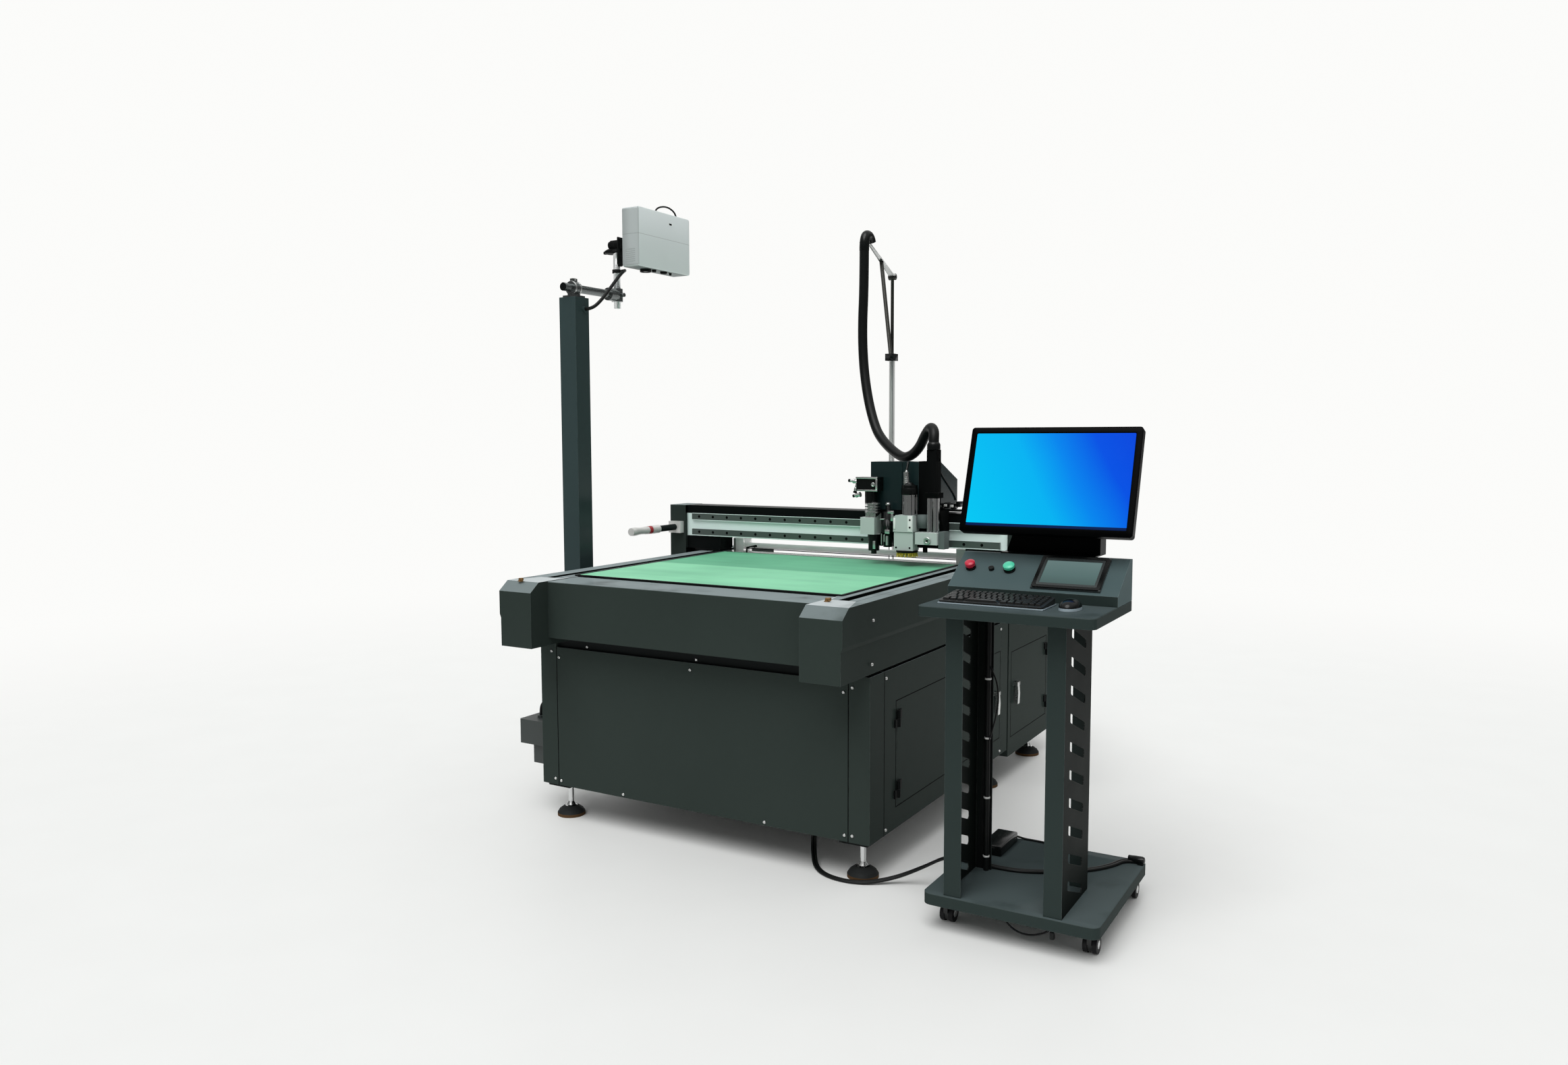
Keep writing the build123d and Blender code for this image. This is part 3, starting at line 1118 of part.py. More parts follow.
# Hose from the boom to the head, in two lengths that meet behind the head
HOSE_JOIN = (203.5, 1497.5, 1488.0)
HOSE_UPPER = (
    (0, TIP_Y, TIP_Z - 42),
    (0, TIP_Y, 2248),
    (-8, 1640, 2046),
    (3, 1630, 1880),
    (35, 1605, 1738),
    (78, 1575, 1622),
    (133, 1540, 1531),
    HOSE_JOIN,
)
HOSE_LOWER = (
    HOSE_JOIN,
    (274, 1455, 1445),
    (346, 1410, 1452),
    (405, 1370, 1492),
    (448, 1332, 1548),
    (486, 1299, 1580),
    (513, 1271, 1563),
    (HOSE_X, HOSE_Y, 1522),
    (HOSE_X, HOSE_Y, HOSE_BLOCK_TOP),
)
with BuildPart() as hose_upper:
    cord(HOSE_UPPER, HOSE_R, "hose_upper")
hose_upper.part.label = "hose_upper"
export_step(hose_upper.part, "parts/hose_upper.step")

with BuildPart() as hose_lower:
    cord(HOSE_LOWER, HOSE_R, "hose_lower")
hose_lower.part.label = "hose_lower"
export_step(hose_lower.part, "parts/hose_lower.step")

# Projector column: a square tube on a floor plate, tied to the cabinet
with BuildPart(TOP) as projector_column:
    half = MAST / 2
    mast = (MAST_X - half, MAST_X + half, MAST_Y - half, MAST_Y + half)
    block(*mast, MAST_PLATE_T, MAST_TOP)
    hole = half - MAST_WALL
    core = (MAST_X - hole, MAST_X + hole, MAST_Y - hole, MAST_Y + hole)
    block(*core, MAST_PLATE_T, MAST_TOP - MAST_WALL, Mode.SUBTRACT)
    plate = (MAST_X - MAST_PLATE / 2, MAST_X + MAST_PLATE / 2)
    block(*plate, MAST_Y - MAST_PLATE / 2, MAST_Y + MAST_PLATE / 2, 0, MAST_PLATE_T)
    with Locations((MAST_X, MAST_Y, MAST_PLATE_T / 2)):
        with GridLocations(ANCHOR_PITCH, ANCHOR_PITCH, 2, 2):
            Cylinder(ANCHOR_R, MAST_PLATE_T, mode=Mode.SUBTRACT)
    rod_x(MAST_FACE + GLAND_H / 2, PROJECTOR_CABLE_Y, PROJECTOR_CABLE_Z, GLAND_R, GLAND_H)
    for z in TIE_Z:
        block(MAST_FACE, -CABINET_HALF, MAST_Y - TIE_T / 2, MAST_Y + TIE_T / 2, z, z + TIE_H)
projector_column.part.label = "projector_column"
export_step(projector_column.part, "parts/projector_column.step")

# Projector arm: a saddle clamp on the column, a tube along the bed and a cross clamp for the rod
ARM_FIT = ARM_R + RUNNING
CLAMP_R = ARM_R + 11
with BuildPart(TOP) as projector_arm:
    block(MAST_X - 34, MAST_X + 34, MAST_Y - 34, MAST_Y + 34, MAST_TOP, MAST_TOP + 9)
    block(MAST_X - 17, MAST_X + 17, MAST_Y - 22, MAST_Y + 22, MAST_TOP + 9, ARM_Z)
    rod_y(MAST_X, MAST_Y, ARM_Z, CLAMP_R, 44)
    block(MAST_X - 9, MAST_X + 9, MAST_Y - 14, MAST_Y + 14, ARM_Z, ARM_Z + CLAMP_R + 12)
    rod_y(MAST_X, MAST_Y, ARM_Z, ARM_FIT, 80, Mode.SUBTRACT)
    rod_y(MAST_X, ARM_BACK - 15, ARM_Z, CLAMP_R, 54)
    rod_z(MAST_X, ROD_Y, ARM_Z - CLAMP_R, ARM_Z + CLAMP_R, ROD_R + 10)
    rod_x(MAST_X + ROD_R + 16, ROD_Y, ARM_Z, 9, 20)
    rod_y(MAST_X, ARM_BACK - 22, ARM_Z, ARM_FIT, 46, Mode.SUBTRACT)
    cross_z = (ARM_Z - CLAMP_R - 1, ARM_Z + CLAMP_R + 1)
    rod_z(MAST_X, ROD_Y, *cross_z, ROD_R + RUNNING, Mode.SUBTRACT)
    rod_y(MAST_X, (ARM_FRONT + ARM_BACK) / 2, ARM_Z, ARM_R, ARM_L)
projector_arm.part.label = "projector_arm"
export_step(projector_arm.part, "parts/projector_arm.step")

# Projector rod with the flange and the forked head that carries the projector's tilt pin
with BuildPart(TOP) as projector_rod:
    rod_z(MAST_X, ROD_Y, ROD_BOTTOM, ROD_TOP, ROD_R)
    rod_z(MAST_X, ROD_Y, TILT_Z - 38, TILT_Z - 30, 34)
    block(MAST_X - 24, TILT_X - 14, ROD_Y - 24, ROD_Y + 24, TILT_Z - 30, TILT_Z + 26)
    for side in SIDES:
        y = ROD_Y + side * 19
        block(TILT_X - 14, TILT_X + 8, y - 5, y + 5, TILT_Z - 12, TILT_Z + 12)
    rod_y(TILT_X, ROD_Y, TILT_Z, TILT_PIN_R, 44)
    rod_z(MAST_X, ROD_Y, CLIP_Z - 8, CLIP_Z + 8, CLIP_R)
projector_rod.part.label = "projector_rod"
export_step(projector_rod.part, "parts/projector_rod.step")

# Projector: a rounded case with a lens turret below and a bracket on its back
LENS_R = 26.0
CASE_ROUND = 12.0
VENT_COUNT = 6
VENT_Y = PROJECTOR_Y1 - 110
with BuildPart(TOP) as projector:
    block(PROJECTOR_X0, PROJECTOR_X1, PROJECTOR_Y0, PROJECTOR_Y1, PROJECTOR_Z0, PROJECTOR_Z1)
    fillet(projector.edges().filter_by(Axis.X), CASE_ROUND)
    chamfer(projector.faces().sort_by(Axis.X)[-1].outer_wire().edges(), 5)
    wall = 3
    inside = (PROJECTOR_X0 + wall, PROJECTOR_X1 - wall, PROJECTOR_Y0 + wall, PROJECTOR_Y1 - wall)
    block(*inside, PROJECTOR_Z0 + wall, PROJECTOR_Z1 - wall, Mode.SUBTRACT)
    engine = (PROJECTOR_X0 + wall, PROJECTOR_X1 - 30, PROJECTOR_Y0 + 40, PROJECTOR_Y0 + 230)
    block(*engine, PROJECTOR_Z0 + wall, PROJECTOR_Z0 + 150)
    for i in range(VENT_COUNT):
        z = PROJECTOR_Z1 - 60 - 14 * i
        block(PROJECTOR_X0, PROJECTOR_X0 + wall, VENT_Y, VENT_Y + 70, z, z + 6, Mode.SUBTRACT)
    lens_x = (PROJECTOR_X0 + PROJECTOR_X1) / 2
    lens_y = PROJECTOR_Y0 + 110
    rod_z(lens_x, lens_y, PROJECTOR_Z0 - 14, PROJECTOR_Z0, LENS_R)
    rod_z(lens_x, lens_y, PROJECTOR_Z0 - 14, PROJECTOR_Z0 - 8, LENS_R - 5, Mode.SUBTRACT)
    block(TILT_X - 10, PROJECTOR_X0, ROD_Y - 13, ROD_Y + 13, TILT_Z - 10, TILT_Z + 10)
    rod_y(TILT_X, ROD_Y, TILT_Z, TILT_PIN_R + RUNNING, 26, Mode.SUBTRACT)
projector.part.label = "projector"
export_step(projector.part, "parts/projector.step")

# Projector cable: out of the column near its top and up to the rod
PROJECTOR_CABLE = (
    (MAST_FACE + GLAND_H, PROJECTOR_CABLE_Y, PROJECTOR_CABLE_Z),
    (MAST_X + 87, PROJECTOR_CABLE_Y, PROJECTOR_CABLE_Z),
    (MAST_X + 108, PROJECTOR_CABLE_Y + 30, PROJECTOR_CABLE_Z + 28),
    (MAST_X + 110, 826, 2196),
    (MAST_X + 101, 906, 2264),
    (MAST_X + 75, 974, CLIP_Z - 4),
    (MAST_X + 46, ROD_Y, CLIP_Z),
    (MAST_X + CLIP_R, ROD_Y, CLIP_Z),
)
PROJECTOR_CABLE_R = 7.5
with BuildPart() as projector_cable:
    cord(PROJECTOR_CABLE, PROJECTOR_CABLE_R, "projector_cable")
projector_cable.part.label = "projector_cable"
export_step(projector_cable.part, "parts/projector_cable.step")

# Junction box on the left side of the cabinet, with a smaller box under it and its cable
with BuildPart(TOP) as junction_box:
    box_x = (-CABINET_HALF - BOX_W, -CABINET_HALF)
    block(*box_x, BOX_Y0, BOX_Y1, BOX_Z0, BOX_Z1)
    fillet(junction_box.edges().filter_by(Axis.Z).sort_by(Axis.X)[:2], 6)
    block(-CABINET_HALF - 90, -CABINET_HALF, BOX_Y0 + 20, BOX_Y1 - 30, BOX_Z0 - 80, BOX_Z0)
    gland_z = (BOX_Z1, BOX_Z1 + GLAND_H)
    rod_z(JUNCTION_CABLE_X, JUNCTION_CABLE_Y, *gland_z, GLAND_R)
junction_box.part.label = "junction_box"
export_step(junction_box.part, "parts/junction_box.step")

JUNCTION_CABLE = (
    (JUNCTION_CABLE_X, JUNCTION_CABLE_Y, BOX_Z1 + GLAND_H),
    (JUNCTION_CABLE_X, JUNCTION_CABLE_Y, BOX_Z1 + 34),
    (JUNCTION_CABLE_X + 8, JUNCTION_CABLE_Y, BOX_Z1 + 58),
    (JUNCTION_CABLE_X + 28, JUNCTION_CABLE_Y, BOX_Z1 + 70),
    (-CABINET_HALF - 32, JUNCTION_CABLE_Y, JUNCTION_CABLE_Z),
    (-CABINET_HALF - GLAND_H, JUNCTION_CABLE_Y, JUNCTION_CABLE_Z),
)
JUNCTION_CABLE_R = 6.0
with BuildPart() as junction_cable:
    cord(JUNCTION_CABLE, JUNCTION_CABLE_R, "junction_cable")
junction_cable.part.label = "junction_cable"
export_step(junction_cable.part, "parts/junction_cable.step")

# Console base: a rounded tray with sockets for its casters, the power supply and a cable gland
GLAND_L = 18.0
GLAND_V = BASE_D - 36
SUPPLY_V = POST_D + 140
CASTER_SPOTS = {
    "front_left": (CASTER_INSET_U, CASTER_FRONT),
    "front_right": (CONSOLE_W - CASTER_INSET_U, CASTER_FRONT),
    "rear_left": (CASTER_INSET_U, BASE_D - CASTER_REAR),
    "rear_right": (CONSOLE_W - CASTER_INSET_U, BASE_D - CASTER_REAR),
}
with BuildPart(DESK) as console_base:
    base_w = CONSOLE_W + 2 * BASE_OUT
    base_d = BASE_D + BASE_OUT
    base_at = (CONSOLE_W / 2, (BASE_D - BASE_OUT) / 2)
    with BuildSketch(DESK.offset(BASE_Z0)):
        with Locations(base_at):
            RectangleRounded(base_w, base_d, BASE_ROUND)
    extrude(amount=BASE_T)
    chamfer(console_base.faces().sort_by(Axis.Z)[-1].outer_wire().edges(), 2)
    with BuildSketch(DESK.offset(BASE_Z0)):
        with Locations(base_at):
            RectangleRounded(base_w - 2 * POST_WALL, base_d - 2 * POST_WALL, BASE_ROUND - POST_WALL)
    extrude(amount=BASE_T - POST_WALL, mode=Mode.SUBTRACT)
    for u, v in CASTER_SPOTS.values():
        rod_z(u, v, BASE_Z0, BASE_Z1, STEM_R + 9)
        rod_z(u, v, BASE_Z0, BASE_Z0 + SOCKET_D, STEM_R + RUNNING, Mode.SUBTRACT)
    supply_u = (POST_LEFT - 2, POST_LEFT + 80)
    block(*supply_u, SUPPLY_V, SUPPLY_V + 90, BASE_Z1 + WELD_GAP, BASE_Z1 + 62)
    gland_u = CONSOLE_W + BASE_OUT - 3
    block(gland_u - GLAND_L, gland_u, GLAND_V - 15, GLAND_V + 15, BASE_Z1, BASE_Z1 + 26)
console_base.part.label = "console_base"
export_step(console_base.part, "parts/console_base.step")

# Console posts: folded channels that face each other, with slanting slots up their outer webs
SLOT_COUNT = 10
SLOT_PITCH = 84.6
SLOT_L = 152.0
SLOT_H = 29.0
SLOT_FALL = 60.0
SLOT_ROUND = 9.0
SLOT_FIRST = BASE_Z1 + 10
SLOT_V = 0.2 * POST_D
POST_TOP = DESK_TOP - POST_WALL
BUNDLE_R = 9.0
with BuildPart(DESK) as console_posts:
    for left, open_left, open_right in (
        (POST_LEFT, POST_WALL, 0),
        (POST_RIGHT, 0, POST_WALL),
    ):
        block(left, left + POST_W, 0, POST_D, BASE_Z1, POST_TOP)
        room = (left + open_left, left + POST_W - open_right, POST_WALL, POST_D - POST_WALL)
        block(*room, BASE_Z1, POST_TOP, Mode.SUBTRACT)
    with BuildSketch(DESK_SIDE) as slots:
        for i in range(SLOT_COUNT):
            z = SLOT_FIRST + i * SLOT_PITCH
            with BuildLine():
                Polyline(
                    (SLOT_V, z + SLOT_FALL),
                    (SLOT_V + SLOT_L, z),
                    (SLOT_V + SLOT_L, z + SLOT_H),
                    (SLOT_V, z + SLOT_FALL + SLOT_H),
                    close=True,
                )
            make_face()
        fillet(slots.vertices().group_by(Axis.Y)[-1], SLOT_ROUND)
    extrude(amount=CONSOLE_W, mode=Mode.SUBTRACT)
    bundle = (POST_LEFT + POST_W - BUNDLE_R - 5, POST_D - POST_WALL - BUNDLE_R - WELD_GAP)
    rod_z(*bundle, BASE_Z1 + WELD_GAP, POST_TOP - WELD_GAP, BUNDLE_R)
console_posts.part.label = "console_posts"
export_step(console_posts.part, "parts/console_posts.step")

# Console desk: a shallow tray turned upside down, with rounded front corners
with BuildPart(DESK) as console_desk:
    block(0, CONSOLE_W, DESK_FRONT, DESK_BACK, DESK_TOP - DESK_T, DESK_TOP)
    fillet(console_desk.edges().filter_by(Axis.Z).group_by(Axis.Y)[0], DESK_ROUND)
    chamfer(console_desk.faces().sort_by(Axis.Z)[-1].outer_wire().edges().group_by(Axis.Y)[0], 2)
    hollow = (7, CONSOLE_W - 7, DESK_FRONT + 7, DESK_BACK - POST_WALL)
    block(*hollow, DESK_TOP - DESK_T, DESK_TOP - POST_WALL, Mode.SUBTRACT)
console_desk.part.label = "console_desk"
export_step(console_desk.part, "parts/console_desk.step")

# Console box: a folded wedge with the button collars and the buzzer on its slope
SLOPE_L = math.hypot(SLOPE_Y - LIP_Y, SLOPE_Z - LIP_Z)
SLOPE_ANGLE = math.atan2(SLOPE_Z - LIP_Z, SLOPE_Y - LIP_Y)
NORMAL = Vector(0, -math.sin(SLOPE_ANGLE), math.cos(SLOPE_ANGLE))
SLOPE = Plane(Vector(CORNER) + Vector(0, LIP_Y, LIP_Z), x_dir=(1, 0, 0), z_dir=NORMAL)
OUTWARD = Axis(SLOPE.origin, SLOPE.z_dir)
COLLAR_H = 6.0
BUTTON_BORE = 11.0
BUTTON_DEPTH = 30.0
BUTTON_TRAVEL = 5.0


def wedge(inset, mode=Mode.ADD):
    """The console box's solid shape, drawn in by a wall on every side but its open bottom."""
    with BuildSketch(DESK_SIDE.offset(inset)) as section:
        with BuildLine():
            Polyline(
                (LIP_Y + inset, DESK_TOP),
                (LIP_Y + inset, LIP_Z - inset * 0.7),
                (SLOPE_Y + inset * 0.3, SLOPE_Z - inset),
                (DESK_BACK - inset, SLOPE_Z - inset),
                (DESK_BACK - inset, DESK_TOP),
                close=True,
            )
        make_face()
    extrude(section.sketch, amount=CONSOLE_W - 2 * inset, mode=mode)


with BuildPart(SLOPE) as console_box:
    wedge(0)
    wedge(POST_WALL, Mode.SUBTRACT)
    for u, radius in ((STOP_U, STOP_R), (START_U, START_R)):
        rod_z(u, BUTTON_W, -BUTTON_DEPTH, COLLAR_H, radius + 1)
        rod_z(u, BUTTON_W, -BUTTON_DEPTH, COLLAR_H, BUTTON_BORE + SLIDING, Mode.SUBTRACT)
    rod_z(BUZZER_U, BUTTON_W - 3, -2, 9, 9)
console_box.part.label = "console_box"
export_step(console_box.part, "parts/console_box.step")


# Push buttons: a broad cap on a stem that slides in its collar
def push_button(u, radius, cap_h):
    """One button cap with its stem."""
    rest = COLLAR_H + BUTTON_TRAVEL + 1
    rod_z(u, BUTTON_W, -BUTTON_DEPTH + BUTTON_TRAVEL + 1, rest, BUTTON_BORE)
    rod_z(u, BUTTON_W, rest, rest + cap_h, radius)


with BuildPart(SLOPE) as stop_button:
    push_button(STOP_U, STOP_R, 12)
    chamfer(stop_button.faces().sort_by(OUTWARD)[-1].outer_wire().edges(), 4)
stop_button.part.label = "stop_button"
export_step(stop_button.part, "parts/stop_button.step")

with BuildPart(SLOPE) as start_button:
    push_button(START_U, START_R, 10)
    chamfer(start_button.faces().sort_by(OUTWARD)[-1].outer_wire().edges(), 2)
start_button.part.label = "start_button"
export_step(start_button.part, "parts/start_button.step")

# Touch panel on the slope: a bezel with a sunk screen
with BuildPart(SLOPE) as touch_panel:
    block(HMI_U - HMI_W / 2, HMI_U + HMI_W / 2, 12, 12 + HMI_H, 0, 9)
    chamfer(touch_panel.faces().sort_by(OUTWARD)[-1].outer_wire().edges(), 3)
    middle = 12 + HMI_H / 2
    screen = (HMI_W * 0.4, HMI_H * 0.35)
    block(HMI_U - screen[0], HMI_U + screen[0], middle - screen[1], middle + screen[1], 6, 9, Mode.SUBTRACT)
touch_panel.part.label = "touch_panel"
export_step(touch_panel.part, "parts/touch_panel.step")

# Keyboard: a wedge, thicker at its back
with BuildPart() as keyboard:
    with BuildSketch(DESK_SIDE.offset(KEYBOARD_U - KEYBOARD_W / 2)):
        with BuildLine():
            Polyline(
                (KEYBOARD_V, DESK_TOP),
                (KEYBOARD_V, DESK_TOP + 10),
                (KEYBOARD_V + KEYBOARD_D, DESK_TOP + 24),
                (KEYBOARD_V + KEYBOARD_D, DESK_TOP),
                close=True,
            )
        make_face()
    extrude(amount=KEYBOARD_W)
    fillet(keyboard.edges().filter_by(Axis.Z), 10)
keyboard.part.label = "keyboard"
export_step(keyboard.part, "parts/keyboard.step")

# Mouse: a low oval shell
with BuildPart(DESK) as mouse:
    with BuildSketch(DESK.offset(DESK_TOP)):
        with Locations((MOUSE_U, MOUSE_V)):
            SlotCenterToCenter(MOUSE_L - MOUSE_W, MOUSE_W, rotation=90)
    extrude(amount=MOUSE_H)
    chamfer(mouse.faces().sort_by(Axis.Z)[-1].outer_wire().edges(), MOUSE_H / 2)
mouse.part.label = "mouse"
export_step(mouse.part, "parts/mouse.step")

# Monitor bracket: a broad bent plate behind the box with two hinge ears
TILT = math.radians(MONITOR_TILT)
TILT_AXIS_V = MONITOR_V + TILT_BACK * math.cos(TILT)
TILT_AXIS_Z = MONITOR_Z - TILT_BACK * math.sin(TILT)
NECK_V = TILT_AXIS_V + 18
EAR_U = 60.0
with BuildPart(DESK) as monitor_stand:
    neck_left = MONITOR_U - NECK_W / 2
    neck_right = MONITOR_U + NECK_W / 2
    neck_top = TILT_AXIS_Z + 40
    with BuildSketch(DESK_FACE.offset(-NECK_V)):
        with BuildLine():
            Polyline(
                (neck_left - NECK_FLARE, SLOPE_Z),
                (neck_right, SLOPE_Z),
                (neck_right, neck_top),
                (neck_left, neck_top),
                (neck_left, SLOPE_Z + GUSSET_H),
                close=True,
            )
        make_face()
    extrude(amount=-NECK_T)
    foot_v = (SLOPE_Y + 2, NECK_V)
    block(neck_left - NECK_FLARE, neck_right, *foot_v, SLOPE_Z, SLOPE_Z + NECK_T)
    with BuildSketch(DESK_SIDE.offset(neck_right - NECK_T)):
        with BuildLine():
            Polyline(
                (NECK_V, SLOPE_Z),
                (NECK_V + GUSSET_D, SLOPE_Z),
                (NECK_V + GUSSET_D, SLOPE_Z + GUSSET_H),
                (NECK_V + GUSSET_D * 0.45, SLOPE_Z + GUSSET_H),
                (NECK_V + GUSSET_D * 0.2, SLOPE_Z + GUSSET_H * 1.3),
                (NECK_V, SLOPE_Z + GUSSET_H * 1.8),
                close=True,
            )
        make_face()
    extrude(amount=NECK_T)
    for side in SIDES:
        u = MONITOR_U + side * EAR_U
        block(u - 5, u + 5, TILT_AXIS_V - 10, NECK_V, TILT_AXIS_Z - 14, TILT_AXIS_Z + 14)
    rod_x(MONITOR_U, TILT_AXIS_V, TILT_AXIS_Z, MONITOR_PIN_R, 2 * EAR_U)
monitor_stand.part.label = "monitor_stand"
export_step(monitor_stand.part, "parts/monitor_stand.step")

# Monitor: a thin rounded screen, a shallower bulge behind it and the hinge barrel
FACE_DIR = Vector(0, -math.cos(TILT), math.sin(TILT))
SCREEN_AT = Vector(CORNER) + Vector(MONITOR_U, MONITOR_V, MONITOR_Z)
SCREEN = Plane(SCREEN_AT, x_dir=(1, 0, 0), z_dir=FACE_DIR)
with BuildPart(SCREEN) as monitor:
    with BuildSketch(SCREEN.offset(-MONITOR_T / 2)):
        RectangleRounded(MONITOR_W, MONITOR_H, 10)
    extrude(amount=MONITOR_T)
    with BuildSketch(SCREEN.offset(-MONITOR_T / 2)):
        Rectangle(MONITOR_W * 0.7, MONITOR_H * 0.7)
    with BuildSketch(SCREEN.offset(-MONITOR_T / 2 - 14)):
        Rectangle(MONITOR_W * 0.5, MONITOR_H * 0.5)
    loft()
    bracket_u = EAR_U - 5 - SLIDING
    block(-bracket_u, bracket_u, -9, 9, -TILT_BACK - 9, -MONITOR_T / 2 - 14)
    rod_x(0, 0, -TILT_BACK, MONITOR_PIN_R + RUNNING, 2 * EAR_U, Mode.SUBTRACT)
monitor.part.label = "monitor"
export_step(monitor.part, "parts/monitor.step")


# Casters: a swivelling hood on a stem, and twin wheels on one axle
def caster_hood(u, v):
    """The hood and stem of one caster, its wheels trailing to the rear."""
    rod_z(u, v, BASE_Z0 - 34, BASE_Z0 + SOCKET_D - 1, STEM_R)
    rod_x(u, v + CASTER_TRAIL, WHEEL_R, WHEEL_R - 3, WHEEL_W - SLIDING)
    width = (WHEEL_W - SLIDING) / 2
    block(u - width, u + width, v - 8, v + CASTER_TRAIL, WHEEL_R + 6, BASE_Z0 - 30)
    rod_x(u, v + CASTER_TRAIL, WHEEL_R, AXLE_R + RUNNING, WHEEL_W, Mode.SUBTRACT)


def caster_wheels(u, v):
    """The twin wheels of one caster."""
    rod_x(u, v + CASTER_TRAIL, WHEEL_R, AXLE_R, 3 * WHEEL_W - 4)
    for side in SIDES:
        middle = u + side * (WHEEL_W + SLIDING)
        rod_x(middle, v + CASTER_TRAIL, WHEEL_R, WHEEL_R, WHEEL_W)


for spot, (u, v) in CASTER_SPOTS.items():
    with BuildPart(DESK) as hood:
        caster_hood(u, v)
    hood.part.label = f"caster_{spot}"
    export_step(hood.part, f"parts/caster_{spot}.step")
    with BuildPart(DESK) as wheels:
        caster_wheels(u, v)
    wheels.part.label = f"wheels_{spot}"
    export_step(wheels.part, f"parts/wheels_{spot}.step")

# Floor cable: down out of the cabinet, round the front foot and over the console's base
FLOOR_CABLE_R = 10.5
ON_BASE = BASE_Z1 + FLOOR_CABLE_R
GLAND_Y = CONSOLE_Y + GLAND_V
FLOOR_CABLE = (
    (FLOOR_CABLE_X, FLOOR_CABLE_Y, CABINET_BOTTOM - GLAND_H),
    (FLOOR_CABLE_X, FLOOR_CABLE_Y, 92),
    (446, 345, 34),
    (494, 274, FLOOR_CABLE_R),
    (580, 222, FLOOR_CABLE_R),
    (690, 226, FLOOR_CABLE_R),
    (786, 290, 24),
    (884, 322, 72),
    (980, 312, ON_BASE + 1),
    (1064, 300, ON_BASE + 2),
    (1149, 297, ON_BASE),
    (1231, 302, ON_BASE),
    (1320, 344, ON_BASE),
    (1426, 422, ON_BASE),
    (1480, 500, ON_BASE),
    (1506, GLAND_Y, ON_BASE + 2),
    (CONSOLE_X + CONSOLE_W + BASE_OUT - 3 - GLAND_L, GLAND_Y, ON_BASE + 2),
)
with BuildPart() as floor_cable:
    cord(FLOOR_CABLE, FLOOR_CABLE_R, "floor_cable")
floor_cable.part.label = "floor_cable"
export_step(floor_cable.part, "parts/floor_cable.step")
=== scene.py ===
import math

import bmesh
import bpy
from mathutils import Matrix, Vector


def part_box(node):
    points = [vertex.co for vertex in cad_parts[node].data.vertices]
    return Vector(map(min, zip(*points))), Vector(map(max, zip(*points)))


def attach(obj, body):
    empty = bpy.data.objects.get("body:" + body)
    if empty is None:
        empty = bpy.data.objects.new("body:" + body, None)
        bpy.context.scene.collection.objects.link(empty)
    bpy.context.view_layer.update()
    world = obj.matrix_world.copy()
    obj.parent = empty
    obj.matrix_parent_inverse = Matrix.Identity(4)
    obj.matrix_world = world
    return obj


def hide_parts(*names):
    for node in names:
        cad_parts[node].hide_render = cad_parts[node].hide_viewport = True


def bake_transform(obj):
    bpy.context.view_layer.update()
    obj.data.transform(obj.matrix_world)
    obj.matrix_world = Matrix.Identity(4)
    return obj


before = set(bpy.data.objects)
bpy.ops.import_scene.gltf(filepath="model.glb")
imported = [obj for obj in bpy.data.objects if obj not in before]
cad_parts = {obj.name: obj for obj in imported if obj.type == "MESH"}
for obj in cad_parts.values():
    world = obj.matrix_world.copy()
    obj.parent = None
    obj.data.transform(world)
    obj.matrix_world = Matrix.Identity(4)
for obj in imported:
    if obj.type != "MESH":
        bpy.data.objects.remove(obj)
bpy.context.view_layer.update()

# The studio: a pale seamless floor that runs up into a white backdrop, one broad soft lamp
# high on the viewer's side, and a camera at eye height off the machine's front right corner.


